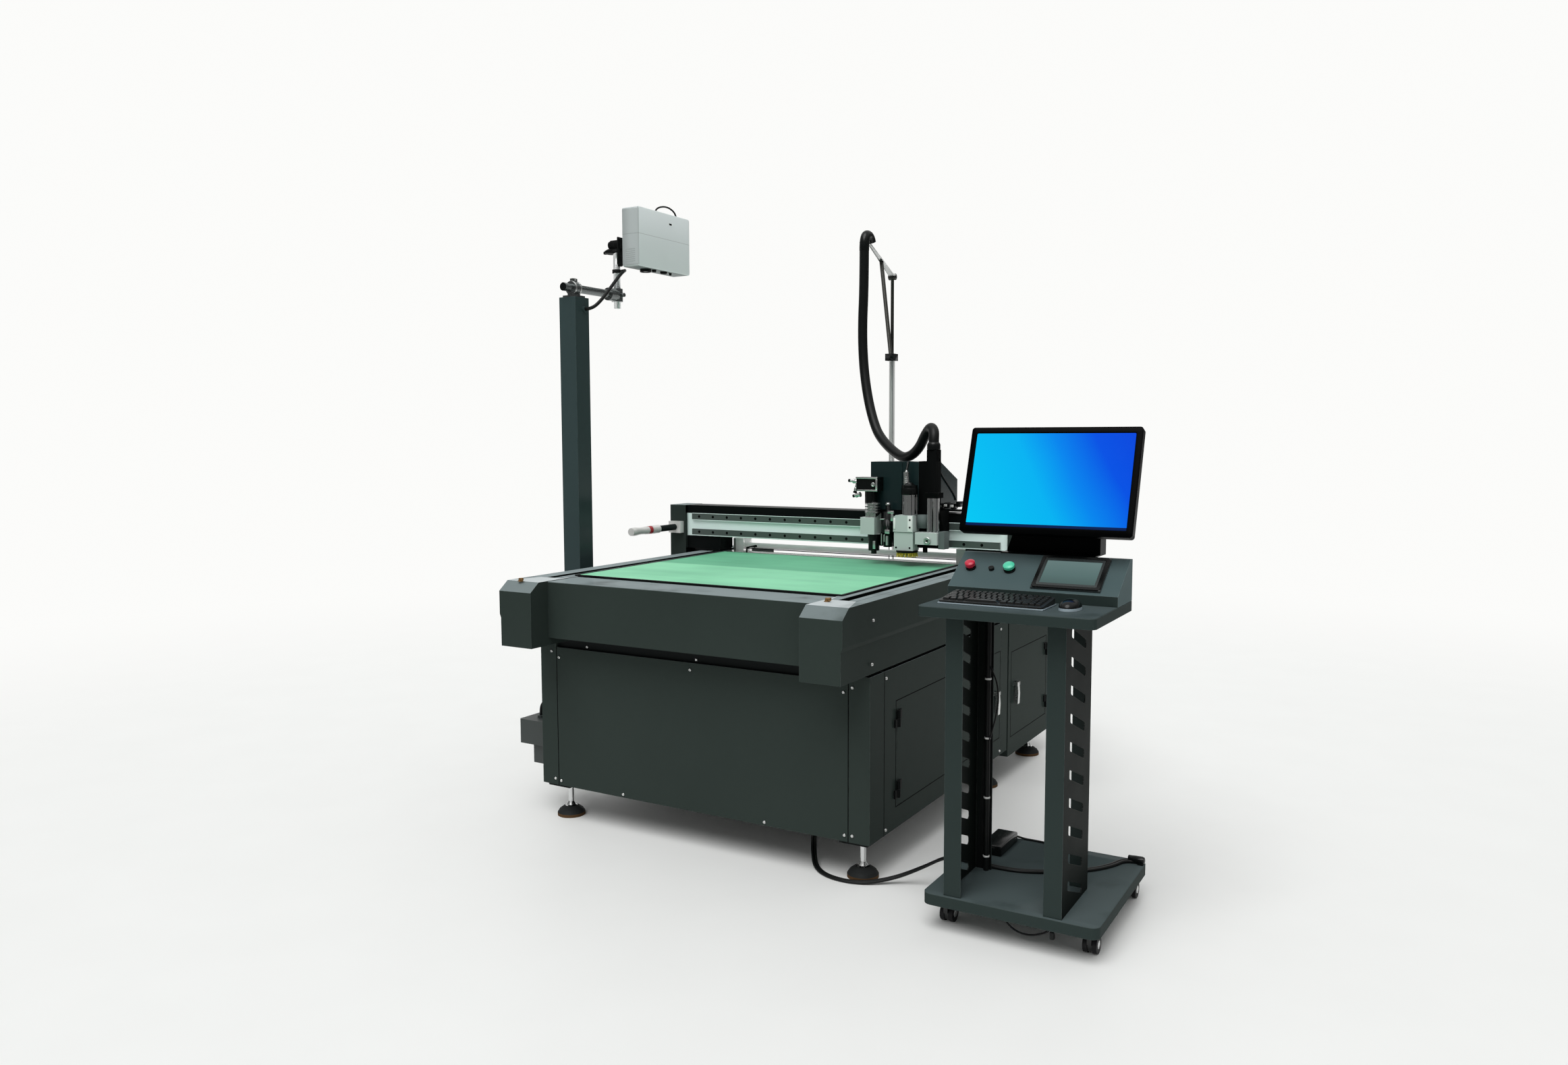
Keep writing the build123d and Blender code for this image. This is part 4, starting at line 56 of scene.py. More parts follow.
class Signal:
    """A node socket. Sums and products of signals add their Math nodes to the same tree."""

    def __init__(self, tree, socket):
        self.tree = tree
        self.socket = socket

    def node(self, kind, settings, sockets, output=0):
        """Any node: its type, its settings and the values or links of its sockets."""
        made = self.tree.nodes.new(kind)
        for name, value in settings.items():
            if name == "stops":
                ramp = made.color_ramp.elements
                while len(ramp) < len(value):
                    ramp.new(0.5)
                for stop, (place, colour) in zip(ramp, value):
                    stop.position = place
                    stop.color = colour
            else:
                setattr(made, name, value)
        for name, value in sockets.items():
            if isinstance(value, Signal):
                self.tree.links.new(value.socket, made.inputs[name])
            else:
                made.inputs[name].default_value = value
        return Signal(self.tree, made.outputs[output])

    def maths(self, operation, first, second=0.0):
        return self.node("ShaderNodeMath", {"operation": operation}, {0: first, 1: second})

    def __add__(self, other):
        return self.maths("ADD", self, other)

    def __sub__(self, other):
        return self.maths("SUBTRACT", self, other)

    def __rsub__(self, other):
        return self.maths("SUBTRACT", other, self)

    def __mul__(self, other):
        return self.maths("MULTIPLY", self, other)

    def __gt__(self, other):
        return self.maths("GREATER_THAN", self, other)

    def __abs__(self):
        return self.maths("ABSOLUTE", self)

    __radd__ = __add__
    __rmul__ = __mul__

    def mix(self, low, high):
        """The colour low where the signal is 0 and high where it is 1."""
        return self.node("ShaderNodeMix", {"data_type": "RGBA"}, {0: self, 6: low, 7: high}, 2)

    def noise(self, scale, detail=2.0):
        """A cloudy value over a place, with so many lumps to the metre."""
        return self.node("ShaderNodeTexNoise", {}, {"Vector": self, "Scale": scale, "Detail": detail})

    def between(self, start, end):
        """0 before start, 1 after end and smooth between them."""
        return self.node("ShaderNodeMapRange", {"interpolation_type": "SMOOTHSTEP"},
                         {0: self, 1: start, 2: end})

    def stretched(self, scale):
        """A place with each axis multiplied."""
        return self.node("ShaderNodeMapping", {}, {"Vector": self, "Scale": scale})

    def along(self, way):
        """How far a place or a direction reaches along another."""
        return self.node("ShaderNodeVectorMath", {"operation": "DOT_PRODUCT"}, {0: self, 1: way}, 1)

    def reach(self):
        """How far a place is from the middle."""
        return self.node("ShaderNodeVectorMath", {"operation": "LENGTH"}, {0: self}, 1)

    def axes(self):
        """The X, Y and Z of a place, in metres."""
        return [self.node("ShaderNodeSeparateXYZ", {}, {0: self}, axis) for axis in range(3)]

    def into(self, shader, socket):
        self.tree.links.new(self.socket, shader.inputs[socket])


BACKDROP = (0.97, 0.97, 0.955, 1)
BEHIND = (-0.5, 0.87, 0)


def fade_to_wall(near, kind, glow, fade, output):
    """Shows the backdrop instead wherever the camera, a reflection or a clear pane looks.

    To the camera it is full white; to reflections a dim room that glows behind the machine.
    """
    path = near.tree.nodes.new("ShaderNodeLightPath")
    camera, glossy, clear = (Signal(near.tree, path.outputs[name])
                             for name in ("Is Camera Ray", "Is Glossy Ray", "Is Transmission Ray"))
    seen = near.maths("MAXIMUM", near.maths("MAXIMUM", camera, glossy), clear)
    strength = near.maths("MAXIMUM", camera, 0.15 + 0.83 * glow)
    wall = near.node(kind, {}, {"Color": BACKDROP, "Strength": strength})
    near.node("ShaderNodeMixShader", {}, {0: fade * seen, 1: near, 2: wall}).into(
        near.tree.nodes[output], "Surface")


def stand(name, data):
    """Puts a mesh, a curve, a lamp or a camera into the scene."""
    thing = bpy.data.objects.new(name, data)
    bpy.context.scene.collection.objects.link(thing)
    return thing


def light_studio():
    world = bpy.data.worlds.new("studio_light")
    bpy.context.scene.world = world
    world.use_nodes = True
    room = world.node_tree.nodes["Background"]
    room.inputs["Color"].default_value = (1, 1, 1, 1)
    room.inputs["Strength"].default_value = 0.5
    light = Signal(world.node_tree, room.outputs[0])
    way = light.node("ShaderNodeTexCoord", {}, {}, "Generated")
    behind, above = way.along(BEHIND).between(0.72, 0.95), way.axes()[2].between(0.25, 0.8)
    fade_to_wall(light, "ShaderNodeBackground", light.maths("MAXIMUM", behind, above), 1, "World Output")
    lamp = stand("soft_lamp", bpy.data.lights.new("soft_lamp", "SUN"))
    lamp.data.energy = 2.0
    lamp.data.angle = math.radians(45)
    lamp.rotation_euler = (math.radians(32), 0, math.radians(4))


def new_finish(name, gloss=0.5):
    """A plain finish: its material, its shader and the place on the piece."""
    material = bpy.data.materials.new(name)
    material.use_nodes = True
    tree = material.node_tree
    shader = tree.nodes["Principled BSDF"]
    shader.inputs["Specular IOR Level"].default_value = gloss
    return material, shader, Signal(tree, tree.nodes.new("ShaderNodeTexCoord").outputs["Object"])


def place_floor():
    mesh = bpy.data.meshes.new("floor")
    shape = bmesh.new()
    bmesh.ops.create_circle(shape, cap_ends=True, radius=30, segments=96)
    shape.to_mesh(mesh)
    paint, matt, place = new_finish("studio_floor")
    matt.inputs["Roughness"].default_value = 0.55
    place.noise(3.0).mix((0.875, 0.885, 0.87, 1), (0.905, 0.915, 0.90, 1)).into(matt, "Base Color")
    fade_to_wall(Signal(place.tree, matt.outputs[0]), "ShaderNodeEmission",
                 place.along(BEHIND).between(1.5, 6.0), place.reach().between(2.6, 8.0), "Material Output")
    mesh.materials.append(paint)
    stand("floor", mesh)


DATUM_X, DATUM_Y = 265.5, 1054.0


def at(x, y, z):
    """A place in millimetres on the machine's own datum, the bed's front middle on the floor."""
    return Vector((x - DATUM_X, y - DATUM_Y, z)) / 1000


def on_datum(place):
    """The other way round: the millimetres on that datum of a place in the frame."""
    x, y, z = place * 1000
    return x + DATUM_X, y + DATUM_Y, z


def place_camera():
    yaw, pitch, roll = (math.radians(angle) for angle in (30.406, 4.812, -0.169))
    ahead = Vector((-math.sin(yaw) * math.cos(pitch), math.cos(yaw) * math.cos(pitch),
                    -math.sin(pitch)))
    right = Vector((math.cos(yaw), math.sin(yaw), 0))
    up = right.cross(ahead)
    view = Matrix((right * math.cos(roll) + up * math.sin(roll),
                   up * math.cos(roll) - right * math.sin(roll), -ahead)).transposed().to_4x4()
    view.translation = at(2393, -3180, 1539)
    camera = stand("camera", bpy.data.cameras.new("camera"))
    camera.data.lens = 26.10
    camera.data.sensor_width = 36
    camera.data.sensor_fit = "HORIZONTAL"
    camera.matrix_world = view
    bpy.context.scene.camera = camera


light_studio()
place_floor()
place_camera()
bpy.context.scene.view_settings.view_transform = "Standard"

# The cabinet: a welded frame under folded steel sheets, powder coated in dark slate with a fine
# orange peel. The folded edges are a little lighter, partly wear where hands and tools have rubbed
# them and partly a painted highlight, and the top faces are lighter with dust and painted top light.


def relief(place, shader, height, depth, edge):
    """Fine relief over the surface, on top of edges that are broken by a small round."""
    soft_edge = place.node("ShaderNodeBevel", {"samples": 4}, {"Radius": edge})
    place.node("ShaderNodeBump", {}, {"Strength": depth, "Distance": 0.0004, "Height": height,
                                      "Normal": soft_edge}).into(shader, "Normal")
    return soft_edge


def facing(place):
    return place.node("ShaderNodeNewGeometry", {}, {}, "Normal")


def edge_wear_and_highlight(place, soft_edge):
    """1 along the edges, where the broken edge turns away from the flat, and 0 on the flats."""
    return (1 - soft_edge.along(facing(place))).between(0.02, 0.16)


def tone(colour, share):
    return [share * part for part in colour] + [1]


def powder_coat(name, colour, roughness, edge=0.002, gloss=0.05, lacquer=0.0, top_light_and_dust=None):
    material, shader, place = new_finish(name, gloss)
    soft_edge = relief(place, shader, place.noise(750, 3), 0.10, edge)
    # Folded edges are lightened: partly rubbed wear, partly a painted highlight along them.
    worn_and_lit = edge_wear_and_highlight(place, soft_edge) * place.noise(30, 3).between(0.25, 0.55)
    bare_and_highlight = [2.0 * part + 0.04 for part in colour] + [1]
    paint = worn_and_lit.mix(place.noise(2.2, 4).mix(tone(colour, 0.9), tone(colour, 1.1)), bare_and_highlight)
    # Up-facing faces are lightened in patches: partly dust, partly painted top light.
    if top_light_and_dust:
        upward = facing(place).axes()[2].between(0.45, 1.0)
        paint = (upward * place.noise(5, 4).between(0.1, 0.5)).mix(paint, tone(top_light_and_dust, 1))
    paint.into(shader, "Base Color")
    (roughness + 0.10 * (place.noise(9, 4) - 0.5) - 0.08 * worn_and_lit).into(shader, "Roughness")
    shader.inputs["Coat Weight"].default_value = lacquer
    shader.inputs["Coat Roughness"].default_value = 0.18
    return material


def dress(material, *nodes):
    """Gives carried-over nodes one finish all over."""
    for node in nodes:
        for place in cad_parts[node].material_slots:
            place.material = material


def paint_faces(mesh, material, where):
    """Gives another finish to the faces whose middle passes a test, in millimetres."""
    mesh.materials.append(material)
    for face in mesh.polygons:
        if where(*on_datum(face.center)):
            face.material_index = len(mesh.materials) - 1


def trim(material, node, where):
    """The same on a carried-over node."""
    paint_faces(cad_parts[node].data, material, where)


SLATE = (0.027, 0.037, 0.033)
SIDE_FACE = 734.0
# Its up-facing faces are lightened, partly dust and partly painted top light.
slate = powder_coat("slate_powder_coat", SLATE, 0.5, gloss=0.0, lacquer=0.12, top_light_and_dust=(0.25, 0.30, 0.305))
hinge_black = powder_coat("hinge_black", (0.006, 0.007, 0.007), 0.45, 0.0008)
dress(slate, "cabinet_panels", "front_panel", "right_side_panel", "side_door", "rear_cabinet",
      "cabinet_door")
dress(powder_coat("inner_frame_coat", (0.010, 0.012, 0.012), 0.55), "base_frame")
for hinged in ("right_side_panel", "side_door", "rear_cabinet", "cabinet_door"):
    trim(hinge_black, hinged, lambda x, y, z: x > SIDE_FACE + 0.6)

# The panel screws: zinc plated button heads with a hexagon socket, turned into rivet nuts along
# the edges of the sheets.


def metal(name, colour, roughness, brush=(6, 6, 6), depth=0.04, edge=0.001, metallic=1.0):
    material, shader, place = new_finish(name)
    streaks = place.stretched([4.0 * part for part in brush]).noise(40, 4)
    relief(place, shader, streaks, depth, edge)
    streaks.mix(tone(colour, 0.86), tone(colour, 1.0)).into(shader, "Base Color")
    (roughness + 0.16 * (streaks - 0.5)).into(shader, "Roughness")
    shader.inputs["Metallic"].default_value = metallic
    return material


def start_recipe(name, *sizes):
    """A Geometry Nodes tree and its inputs: the points, the named sizes and the finish."""
    tree = bpy.data.node_groups.new(name, "GeometryNodeTree")
    inputs = [("Points", "Geometry"), *((size, "Float") for size in sizes), ("Finish", "Material")]
    for label, kind in inputs:
        tree.interface.new_socket(label, in_out="INPUT", socket_type="NodeSocket" + kind)
    tree.interface.new_socket("Pieces", in_out="OUTPUT", socket_type="NodeSocketGeometry")
    entry = tree.nodes.new("NodeGroupInput")
    return [Signal(tree, entry.outputs[i]) for i in range(len(inputs))]


def plain_mesh(thing):
    """The mesh that an object's curve or recipe makes."""
    return bpy.data.meshes.new_from_object(thing.evaluated_get(bpy.context.evaluated_depsgraph_get()))


def end_recipe(pieces, finish):
    """Makes the pieces one real mesh in its finish, and gives the finished tree."""
    real = pieces.node("GeometryNodeRealizeInstances", {}, {"Geometry": pieces})
    done = real.node("GeometryNodeSetMaterial", {}, {"Geometry": real, "Material": finish})
    done.into(done.tree.nodes.new("NodeGroupOutput"), 0)
    return done.tree


def grow(name, tree, spots, sizes, material, body):
    """Runs a recipe on spots, each a place in millimetres, a facing and a size, as one plain mesh."""
    mesh = bpy.data.meshes.new(name)
    mesh.from_pydata([at(*spot[0]) for spot in spots], [], [])
    ways = mesh.attributes.new("facing", "FLOAT_VECTOR", "POINT")
    scales = mesh.attributes.new("size", "FLOAT_VECTOR", "POINT")
    for i, spot in enumerate(spots):
        ways.data[i].vector = spot[1]
        scales.data[i].vector = spot[2] if len(spot) > 2 else (1, 1, 1)
    piece = stand(name, mesh)
    work = piece.modifiers.new(name, "NODES")
    work.node_group = tree
    given = {**sizes, "Finish": material}
    for item in tree.interface.items_tree:
        if item.in_out == "INPUT" and item.name in given:
            work[item.identifier] = given[item.name]
    piece.data = plain_mesh(piece)
    piece.modifiers.clear()
    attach(piece, body)
    return piece


def on_spots(points, shape):
    """The shape on every point, its top turned to the point's facing and sized by the point."""
    way, size = (points.node("GeometryNodeInputNamedAttribute", {"data_type": "FLOAT_VECTOR"},
                             {"Name": name}) for name in ("facing", "size"))
    turn = points.node("FunctionNodeAlignRotationToVector", {"axis": "Z"}, {"Vector": way})
    return points.node("GeometryNodeInstanceOnPoints", {}, {
        "Points": points, "Instance": shape, "Rotation": turn, "Scale": size})


def push(shape, selection, amount, share):
    """Raises the chosen faces by an amount and draws them in to a share of their size."""
    lift = shape.node("GeometryNodeExtrudeMesh", {}, {"Mesh": shape, "Selection": selection,
                                                      "Offset Scale": amount, "Individual": False})
    top = Signal(lift.tree, lift.socket.node.outputs["Top"])
    return lift.node("GeometryNodeScaleElements", {},
                     {"Geometry": lift, "Selection": top, "Scale": share}), top


def screw_recipe():
    points, radius, height, mouth, depth, finish = start_recipe(
        "button_heads", "Radius", "Height", "Mouth", "Depth")
    disc = points.node("GeometryNodeMeshCircle", {"fill_type": "NGON"}, {"Vertices": 12, "Radius": radius})
    wall, top = push(disc, True, 0.6 * height, 0.94)
    dome, top = push(wall, top, 0.4 * height, 0.78)
    rim, top = push(dome, top, 0.0, mouth)
    socket, _ = push(rim, top, 0.0 - depth, 0.9)
    return end_recipe(on_spots(points, socket), finish)


button_heads = screw_recipe()


def drive_screws(name, spots, radius, height, mouth, depth, material, body):
    """Button heads on their spots; the mouth is a share of the head's top."""
    sizes = {"Radius": radius, "Height": height, "Mouth": mouth, "Depth": depth}
    grow(name, button_heads, spots, sizes, material, body)


FRONT, BACK = (0, -1, 0), (0, 1, 0)
zinc = metal("zinc_plate", (0.72, 0.73, 0.72), 0.30)
panel_screws = [((x, 216.5, z), FRONT) for x, z in (
    (-638, 668), (-4, 682), (634, 670), (-638, 167), (-325, 160), (315, 160), (638, 170),
    (-676, 690), (-668, 172), (668, 689), (668, 172))]
panel_screws += [((x, 231.5, 719), FRONT) for x in (-505, 15, 520)]
for side in (-1, 1):
    panel_screws += [((side * SIDE_FACE, y, z), (side, 0, 0)) for y in (341, 1502) for z in (166, 705)]
    panel_screws += [((side * 741, y, z), (side, 0, 0))
                     for y, z in ((223, 925), (214, 777), (1790, 925))]
panel_screws += [((x, 2180, z), BACK) for x in (-700, 0, 700) for z in (140, 702)]
drive_screws("panel_screws", panel_screws, 0.0062, 0.0042, 0.5, 0.002, zinc, "machine")

# The panel seams: black strips of painted shade for the shadow gap between neighbouring sheets
# and round the opening of each door.


def slab(low, high, soft=0.0):
    """The form of a block between two corners, in millimetres, with softened edges."""
    size = [b - a for a, b in zip(low, high)]
    middle = [(a + b) / 2 for a, b in zip(low, high)]

    def draw(shape):
        place = Matrix.Translation(middle) @ Matrix.Diagonal((*size, 1))
        made = bmesh.ops.create_cube(shape, size=1, matrix=place)
        if soft:
            edges = list({edge for corner in made["verts"] for edge in corner.link_edges})
            bmesh.ops.bevel(shape, geom=edges, offset=soft, segments=2, affect="EDGES", profile=0.5)
    return draw


def settle(name, material, body, slot, *forms, place=Matrix()):
    """Draws forms in millimetres as one finished piece that rides on a body, or stays where it is drawn when
    given two.
    """
    shape = bmesh.new()
    for form in forms:
        form(shape)
    bmesh.ops.recalc_face_normals(shape, faces=shape.faces)
    for corner in shape.verts:
        corner.co = at(*(place @ corner.co))
    mesh = bpy.data.meshes.new(name)
    shape.to_mesh(mesh)
    shape.free()
    mesh.materials.append(material)
    mesh.shade_smooth()
    mesh.set_sharp_from_angle(angle=math.radians(35))
    piece = stand(name, mesh)
    if isinstance(body, str):
        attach(piece, body)
    else:
        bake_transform(piece)
    return piece


def door_shadow_gap(y_low, y_high, z_low, z_high, width=3.5):
    """Four strips of painted shade round a door, flush on the side sheet."""
    bottom, top = z_low - width, z_high + width
    strips = ((y_low - width, y_low, bottom, top), (y_high, y_high + width, bottom, top),
              (y_low, y_high, bottom, z_low), (y_low, y_high, z_high, top))
    return [slab((SIDE_FACE - 0.5, y0, z0), (SIDE_FACE + 0.4, y1, z1)) for y0, y1, z0, z1 in strips]


deep_black = powder_coat("deep_black", (0.0025, 0.003, 0.003), 0.7, 0.0004, 0.02)
settle("seam_shadow_strips", deep_black, "machine", "black_plastic",
       *[slab((x - 1.8, 216.1, 147), (x + 1.8, 217.5, 707)) for x in (-652, 652)],
       slab((SIDE_FACE - 0.5, 327.6, 147), (SIDE_FACE + 0.4, 331.2, 729)),
       *door_shadow_gap(427, 1498, 227, 607), *door_shadow_gap(1647, 2148, 197, 578))

# The levelling feet: turned and chromed studs with lock nuts, on domed pads of painted cast iron
# whose rims have rusted brown where they stand.

chrome = metal("polished_chrome", (0.70, 0.71, 0.71), 0.14)
dress(chrome, "levelling_feet")
trim(powder_coat("cast_iron_paint", (0.020, 0.022, 0.022), 0.5), "levelling_feet",
     lambda x, y, z: 14 < z < 40)
trim(powder_coat("rusty_rim", (0.085, 0.048, 0.022), 0.7), "levelling_feet", lambda x, y, z: z <= 14)
trim(zinc, "levelling_feet", lambda x, y, z: z > 118)

# The door handles: slim die-cast swing levers, plated in satin nickel and hung between two ears
# that are screwed to the door.

nickel = metal("satin_nickel", (0.62, 0.63, 0.62), 0.28, (0.5, 0.5, 0.5), depth=0.01)
dress(nickel, "side_latch", "cabinet_latch")
trim(nickel, "side_door", lambda x, y, z: x > SIDE_FACE + 0.6 and y > 1300)
trim(nickel, "cabinet_door", lambda x, y, z: x > SIDE_FACE + 0.6 and y < 1800)

# Inside the cabinets: grey cased drive modules screwed to a plate behind the side door, and the
# cast vacuum blower, bolted down in the rear cabinet.

dress(powder_coat("module_case", (0.10, 0.11, 0.11), 0.5), "control_plate")
dress(powder_coat("cast_blower", (0.16, 0.165, 0.165), 0.55), "vacuum_blower")

# The front beam and the rail covers: folded sheet in the same slate, with a slot along the top of
# each cover for the gantry's leg and a brass air fitting on each front cap.


def circle(shape, middle, across, beside, radius, sides):
    """A ring of corners, or the one corner of a tip."""
    turns = [2 * math.pi * i / sides for i in range(sides)] if radius else [0]
    return [shape.verts.new(middle + radius * (across * math.cos(turn) + beside * math.sin(turn)))
            for turn in turns]


def skin(shape, rings, ends=True):
    """Faces from ring to ring, with a face over each end or from the last ring back to the first."""
    for low, high in zip(rings, rings[1:] + ([] if ends else rings[:1])):
        count = max(len(low), len(high))
        for i in range(count):
            j = (i + 1) % count
            corners = low[i % len(low)], low[j % len(low)], high[j % len(high)], high[i % len(high)]
            shape.faces.new(dict.fromkeys(corners))
    for end in (rings[0], rings[-1]) if ends else ():
        if len(end) > 1:
            shape.faces.new(end)


def turned(base, way, profile, sides=24):
    """The form of a turned body: radii at distances along a line from a base point."""
    way = Vector(way).normalized()
    across = way.orthogonal().normalized()
    beside = way.cross(across)
    return lambda shape: skin(shape, [
        circle(shape, Vector(base) + way * distance, across, beside, radius, sides)
        for distance, radius in profile])


def pair(low, high, soft):
    """A block on the right of the machine's middle, and the same on the left."""
    return [slab((-high[0], *low[1:]), (-low[0], *high[1:]), soft), slab(low, high, soft)]


UP, DOWN, LEFT, RIGHT = (0, 0, 1), (0, 0, -1), (-1, 0, 0), (1, 0, 0)
dress(slate, "front_beam", "rail_covers")
# The front caps' top faces are painted much paler: a painted reflection of the bright backdrop, with a
# little dust.
trim(powder_coat("cap_top_sheen_slate", SLATE, 0.5, gloss=0.0, lacquer=0.12, top_light_and_dust=(0.55, 0.60, 0.61)),
     "rail_covers", lambda x, y, z: y < 186 and z > 985)
settle("cover_lips", slate, "machine", "slate_paint",
       *pair((601, 188, 988), (629, 1808, 990.6), 0.6), *pair((667.5, 188, 988), (696, 1808, 990.6), 0.6))
fittings = []
for x, y in ((-668, 40), (612, 138)):
    fittings += [turned((x, y, 990), UP, ((0, 11), (3, 11), (3.5, 8), (9, 8), (10, 6.5), (13, 6.5)), 6),
                 turned((x - 2, y - 2, 998), (1, -0.3, 0.1),
                        ((0, 5), (12, 5), (12.5, 6), (19, 6), (20, 4.5)), 12)]
settle("air_fittings", metal("tarnished_brass", (0.42, 0.24, 0.10), 0.36), "machine", "silver_steel",
       *fittings)

# The bed: a milled aluminium table with bright rear strips and roller brackets, the long-axis rails
# inside the covers, and the vacuum mat of green felt, painted darker along the rear as the gantry's shadow.

BRUSHED_ALONG = (1, 40, 40)
dress(metal("bright_aluminium", (0.93, 0.94, 0.93), 0.34, BRUSHED_ALONG, metallic=0.05), "bed_table")
trim(metal("polished_strip", (0.97, 0.97, 0.96), 0.24, BRUSHED_ALONG), "bed_table",
     lambda x, y, z: y > 1335 and 984 < z < 999)
dress(metal("ground_rail_steel", (0.34, 0.35, 0.35), 0.3, (40, 1, 40)), "y_rails")


def mat_felt():
    material, shader, place = new_finish("green_mat", 0.25)
    fibres = place.noise(900, 4)
    relief(place, shader, fibres, 0.25, 0.0005)
    swept = place.stretched((1.0, 5.0, 1.0)).noise(2.2, 3)
    clouds = (0.46 * place.noise(2.2, 3) + 0.26 * swept + 0.28 * fibres).between(0.3, 0.7)
    felt = clouds.mix((0.185, 0.53, 0.325, 1), (0.30, 0.76, 0.475, 1))
    # Towards the rear the felt is darker: a painted shadow of the gantry.
    gantry_shadowed_felt = clouds.mix((0.105, 0.375, 0.22, 1), (0.16, 0.52, 0.31, 1))
    place.axes()[1].between(-0.246, -0.222).mix(felt, gantry_shadowed_felt).into(shader, "Base Color")
    (0.60 + 0.2 * (fibres - 0.5)).into(shader, "Roughness")
    return material


ROLLER_Y, ROLLER_Z = 1482, 1015
dress(mat_felt(), "cutting_mat")
settle("mat_edging", hinge_black, "machine", "black_plastic",
       slab((-602, 276, 984), (602, 287.5, 994.8), 1), *pair((588.5, 286, 989.5), (602, 1340, 995), 1),
       slab((-588, 1339, 989.5), (588, 1345, 995), 1))
settle("roller_bearings", metal("cast_bearing", (0.42, 0.44, 0.43), 0.4, metallic=0.1),
       "machine", "anodised", *pair((592, ROLLER_Y - 20, 991), (618, ROLLER_Y + 22, 1048), 2))
# A thin black bar under the roller: painted shade for the dark line between the roller and the bed.
settle("roller_shadow_line", hinge_black, "machine", "black_plastic",
       slab((-600, 1475, 997), (600, 1483, 1000.5), 0.8))

# The feed roller: a slim ground tube between turned journals, and the bent wire of its lift at the
# left end, with a sleeve where it is gripped.


def pin(base, way, length, radius, ease, sides=12, lead=1):
    """The form of a plain round bar whose ends are drawn in over a short lead."""
    return turned(base, way, ((0, radius - ease), (lead, radius), (length - lead, radius),
                              (length, radius - ease)), sides)


roller_tube = settle(
    "roller_tube", metal("ground_roller", (0.93, 0.92, 0.91), 0.3, (1, 30, 30), metallic=0.1),
    "feed_roller", "bright_roller",
    turned((-596, ROLLER_Y, ROLLER_Z), RIGHT, ((0, 9), (1, 10), (22, 10), (24, 13), (1168, 13), (1170, 10),
                                               (1191, 10), (1192, 9)), 40))
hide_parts("feed_roller")
settle("roller_lift", hinge_black, "machine", "black_plastic",
       turned((-470, 1349, 990), (0.06, 0, 1), ((0, 3), (1, 4), (27, 4), (30, 3)), 12),
       pin((-469, 1349, 1017), (0.97, 0, 0.22), 48, 4, 1, lead=2),
       pin((-430, 1349, 1024), (0.97, 0, 0.22), 16, 6, 2))

# The gantry: an extruded aluminium beam, two dark guide rails screwed to its face through
# counterbored holes, a black folded cover on top, black legs and slate end boxes.

anodised = metal("anodised_aluminium", (0.84, 1.0, 0.96), 0.45, BRUSHED_ALONG, metallic=0.0)
dress(anodised, "gantry_beam")
dress(metal("blackened_rail_steel", (0.09, 0.118, 0.107), 0.36, BRUSHED_ALONG, metallic=0.3),
      "gantry_rails")
dress(powder_coat("black_powder_coat", (0.004, 0.0055, 0.0055), 0.4), "gantry_cover", "gantry_legs")
dress(slate, "gantry_ends")
settle("leg_seals", hinge_black, "gantry", "black_plastic",
       *pair((627, 1357, 992.2), (772, 1448, 1003), 1))
# Thin bright aluminium strips along the rails' top and bottom edges: painted highlights on those edges.
settle("rail_edge_highlights", anodised, "gantry", "rail_steel",
       *[slab((-776, 1343.3, z - 1.2), (776, 1345, z + 1.2), 0.4) for z in (1066, 1098, 1139.5, 1171.5)])
counterbores = [((x, 1344, z), FRONT) for x in range(-738, 763, 80) for z in (1082, 1156)]
drive_screws("rail_counterbores", counterbores, 0.0066, 0.0005, 0.62, 0.0003, deep_black,
             "gantry")

# The safety feeler on the left end box: a silver clamp, a black rod, a knurled sleeve, a red ring
# and a bright pointed tip that stops the gantry when it is pushed.


def moulded(name, colour, roughness, scale=1200, depth=0.12, edge=0.0012, gloss=0.5):
    material, shader, place = new_finish(name, gloss)
    relief(place, shader, place.noise(scale, 2), depth, edge)
    place.noise(4, 4).mix(tone(colour, 0.92), tone(colour, 1.03)).into(shader, "Base Color")
    (roughness + 0.08 * (place.noise(18, 4) - 0.5)).into(shader, "Roughness")
    return material


def ribs(count, pitch, *rib, taper=0.0):
    """The steps of one rib, repeated along a profile and drawn in from rib to rib."""
    return [(distance + pitch * k, radius - taper * k) for k in range(count) for distance, radius in rib]


FEELER_X, FEELER_Z = -860, 1103
feeler_silver = metal("feeler_silver", (0.80, 0.79, 0.77), 0.35, metallic=0.25)
dress(feeler_silver, "safety_feeler")
trim(powder_coat("feeler_black", (0.012, 0.016, 0.016), 0.4), "safety_feeler",
     lambda x, y, z: 1015 < y < 1309 and math.hypot(x - FEELER_X, z - FEELER_Z) < 15.5)
settle("feeler_ring", moulded("signal_red", (0.42, 0.012, 0.02), 0.35), "gantry", "red_button",
       pin((FEELER_X, 1095, FEELER_Z), BACK, 23, 19, 2, 24))
settle("feeler_sleeve", feeler_silver, "gantry", "silver_steel",
       turned((FEELER_X, 1120, FEELER_Z), BACK,
              ((0, 14), *ribs(10, 6, (1, 19.5), (4, 19.5), (6, 17.5)), (62, 14))),
       turned((FEELER_X, 1096, FEELER_Z), FRONT, ((0, 14), (2, 18.5), (20, 18.5), (24, 16.5), (84, 16.5),
                                                  (90, 19.2), (118, 19), (125, 15), (128, 0))))

# The head's carriage: a milled body with a black cable box and hose socket, a dark guard plate
# between the right-hand tools, and a small black air regulator beside the left one.


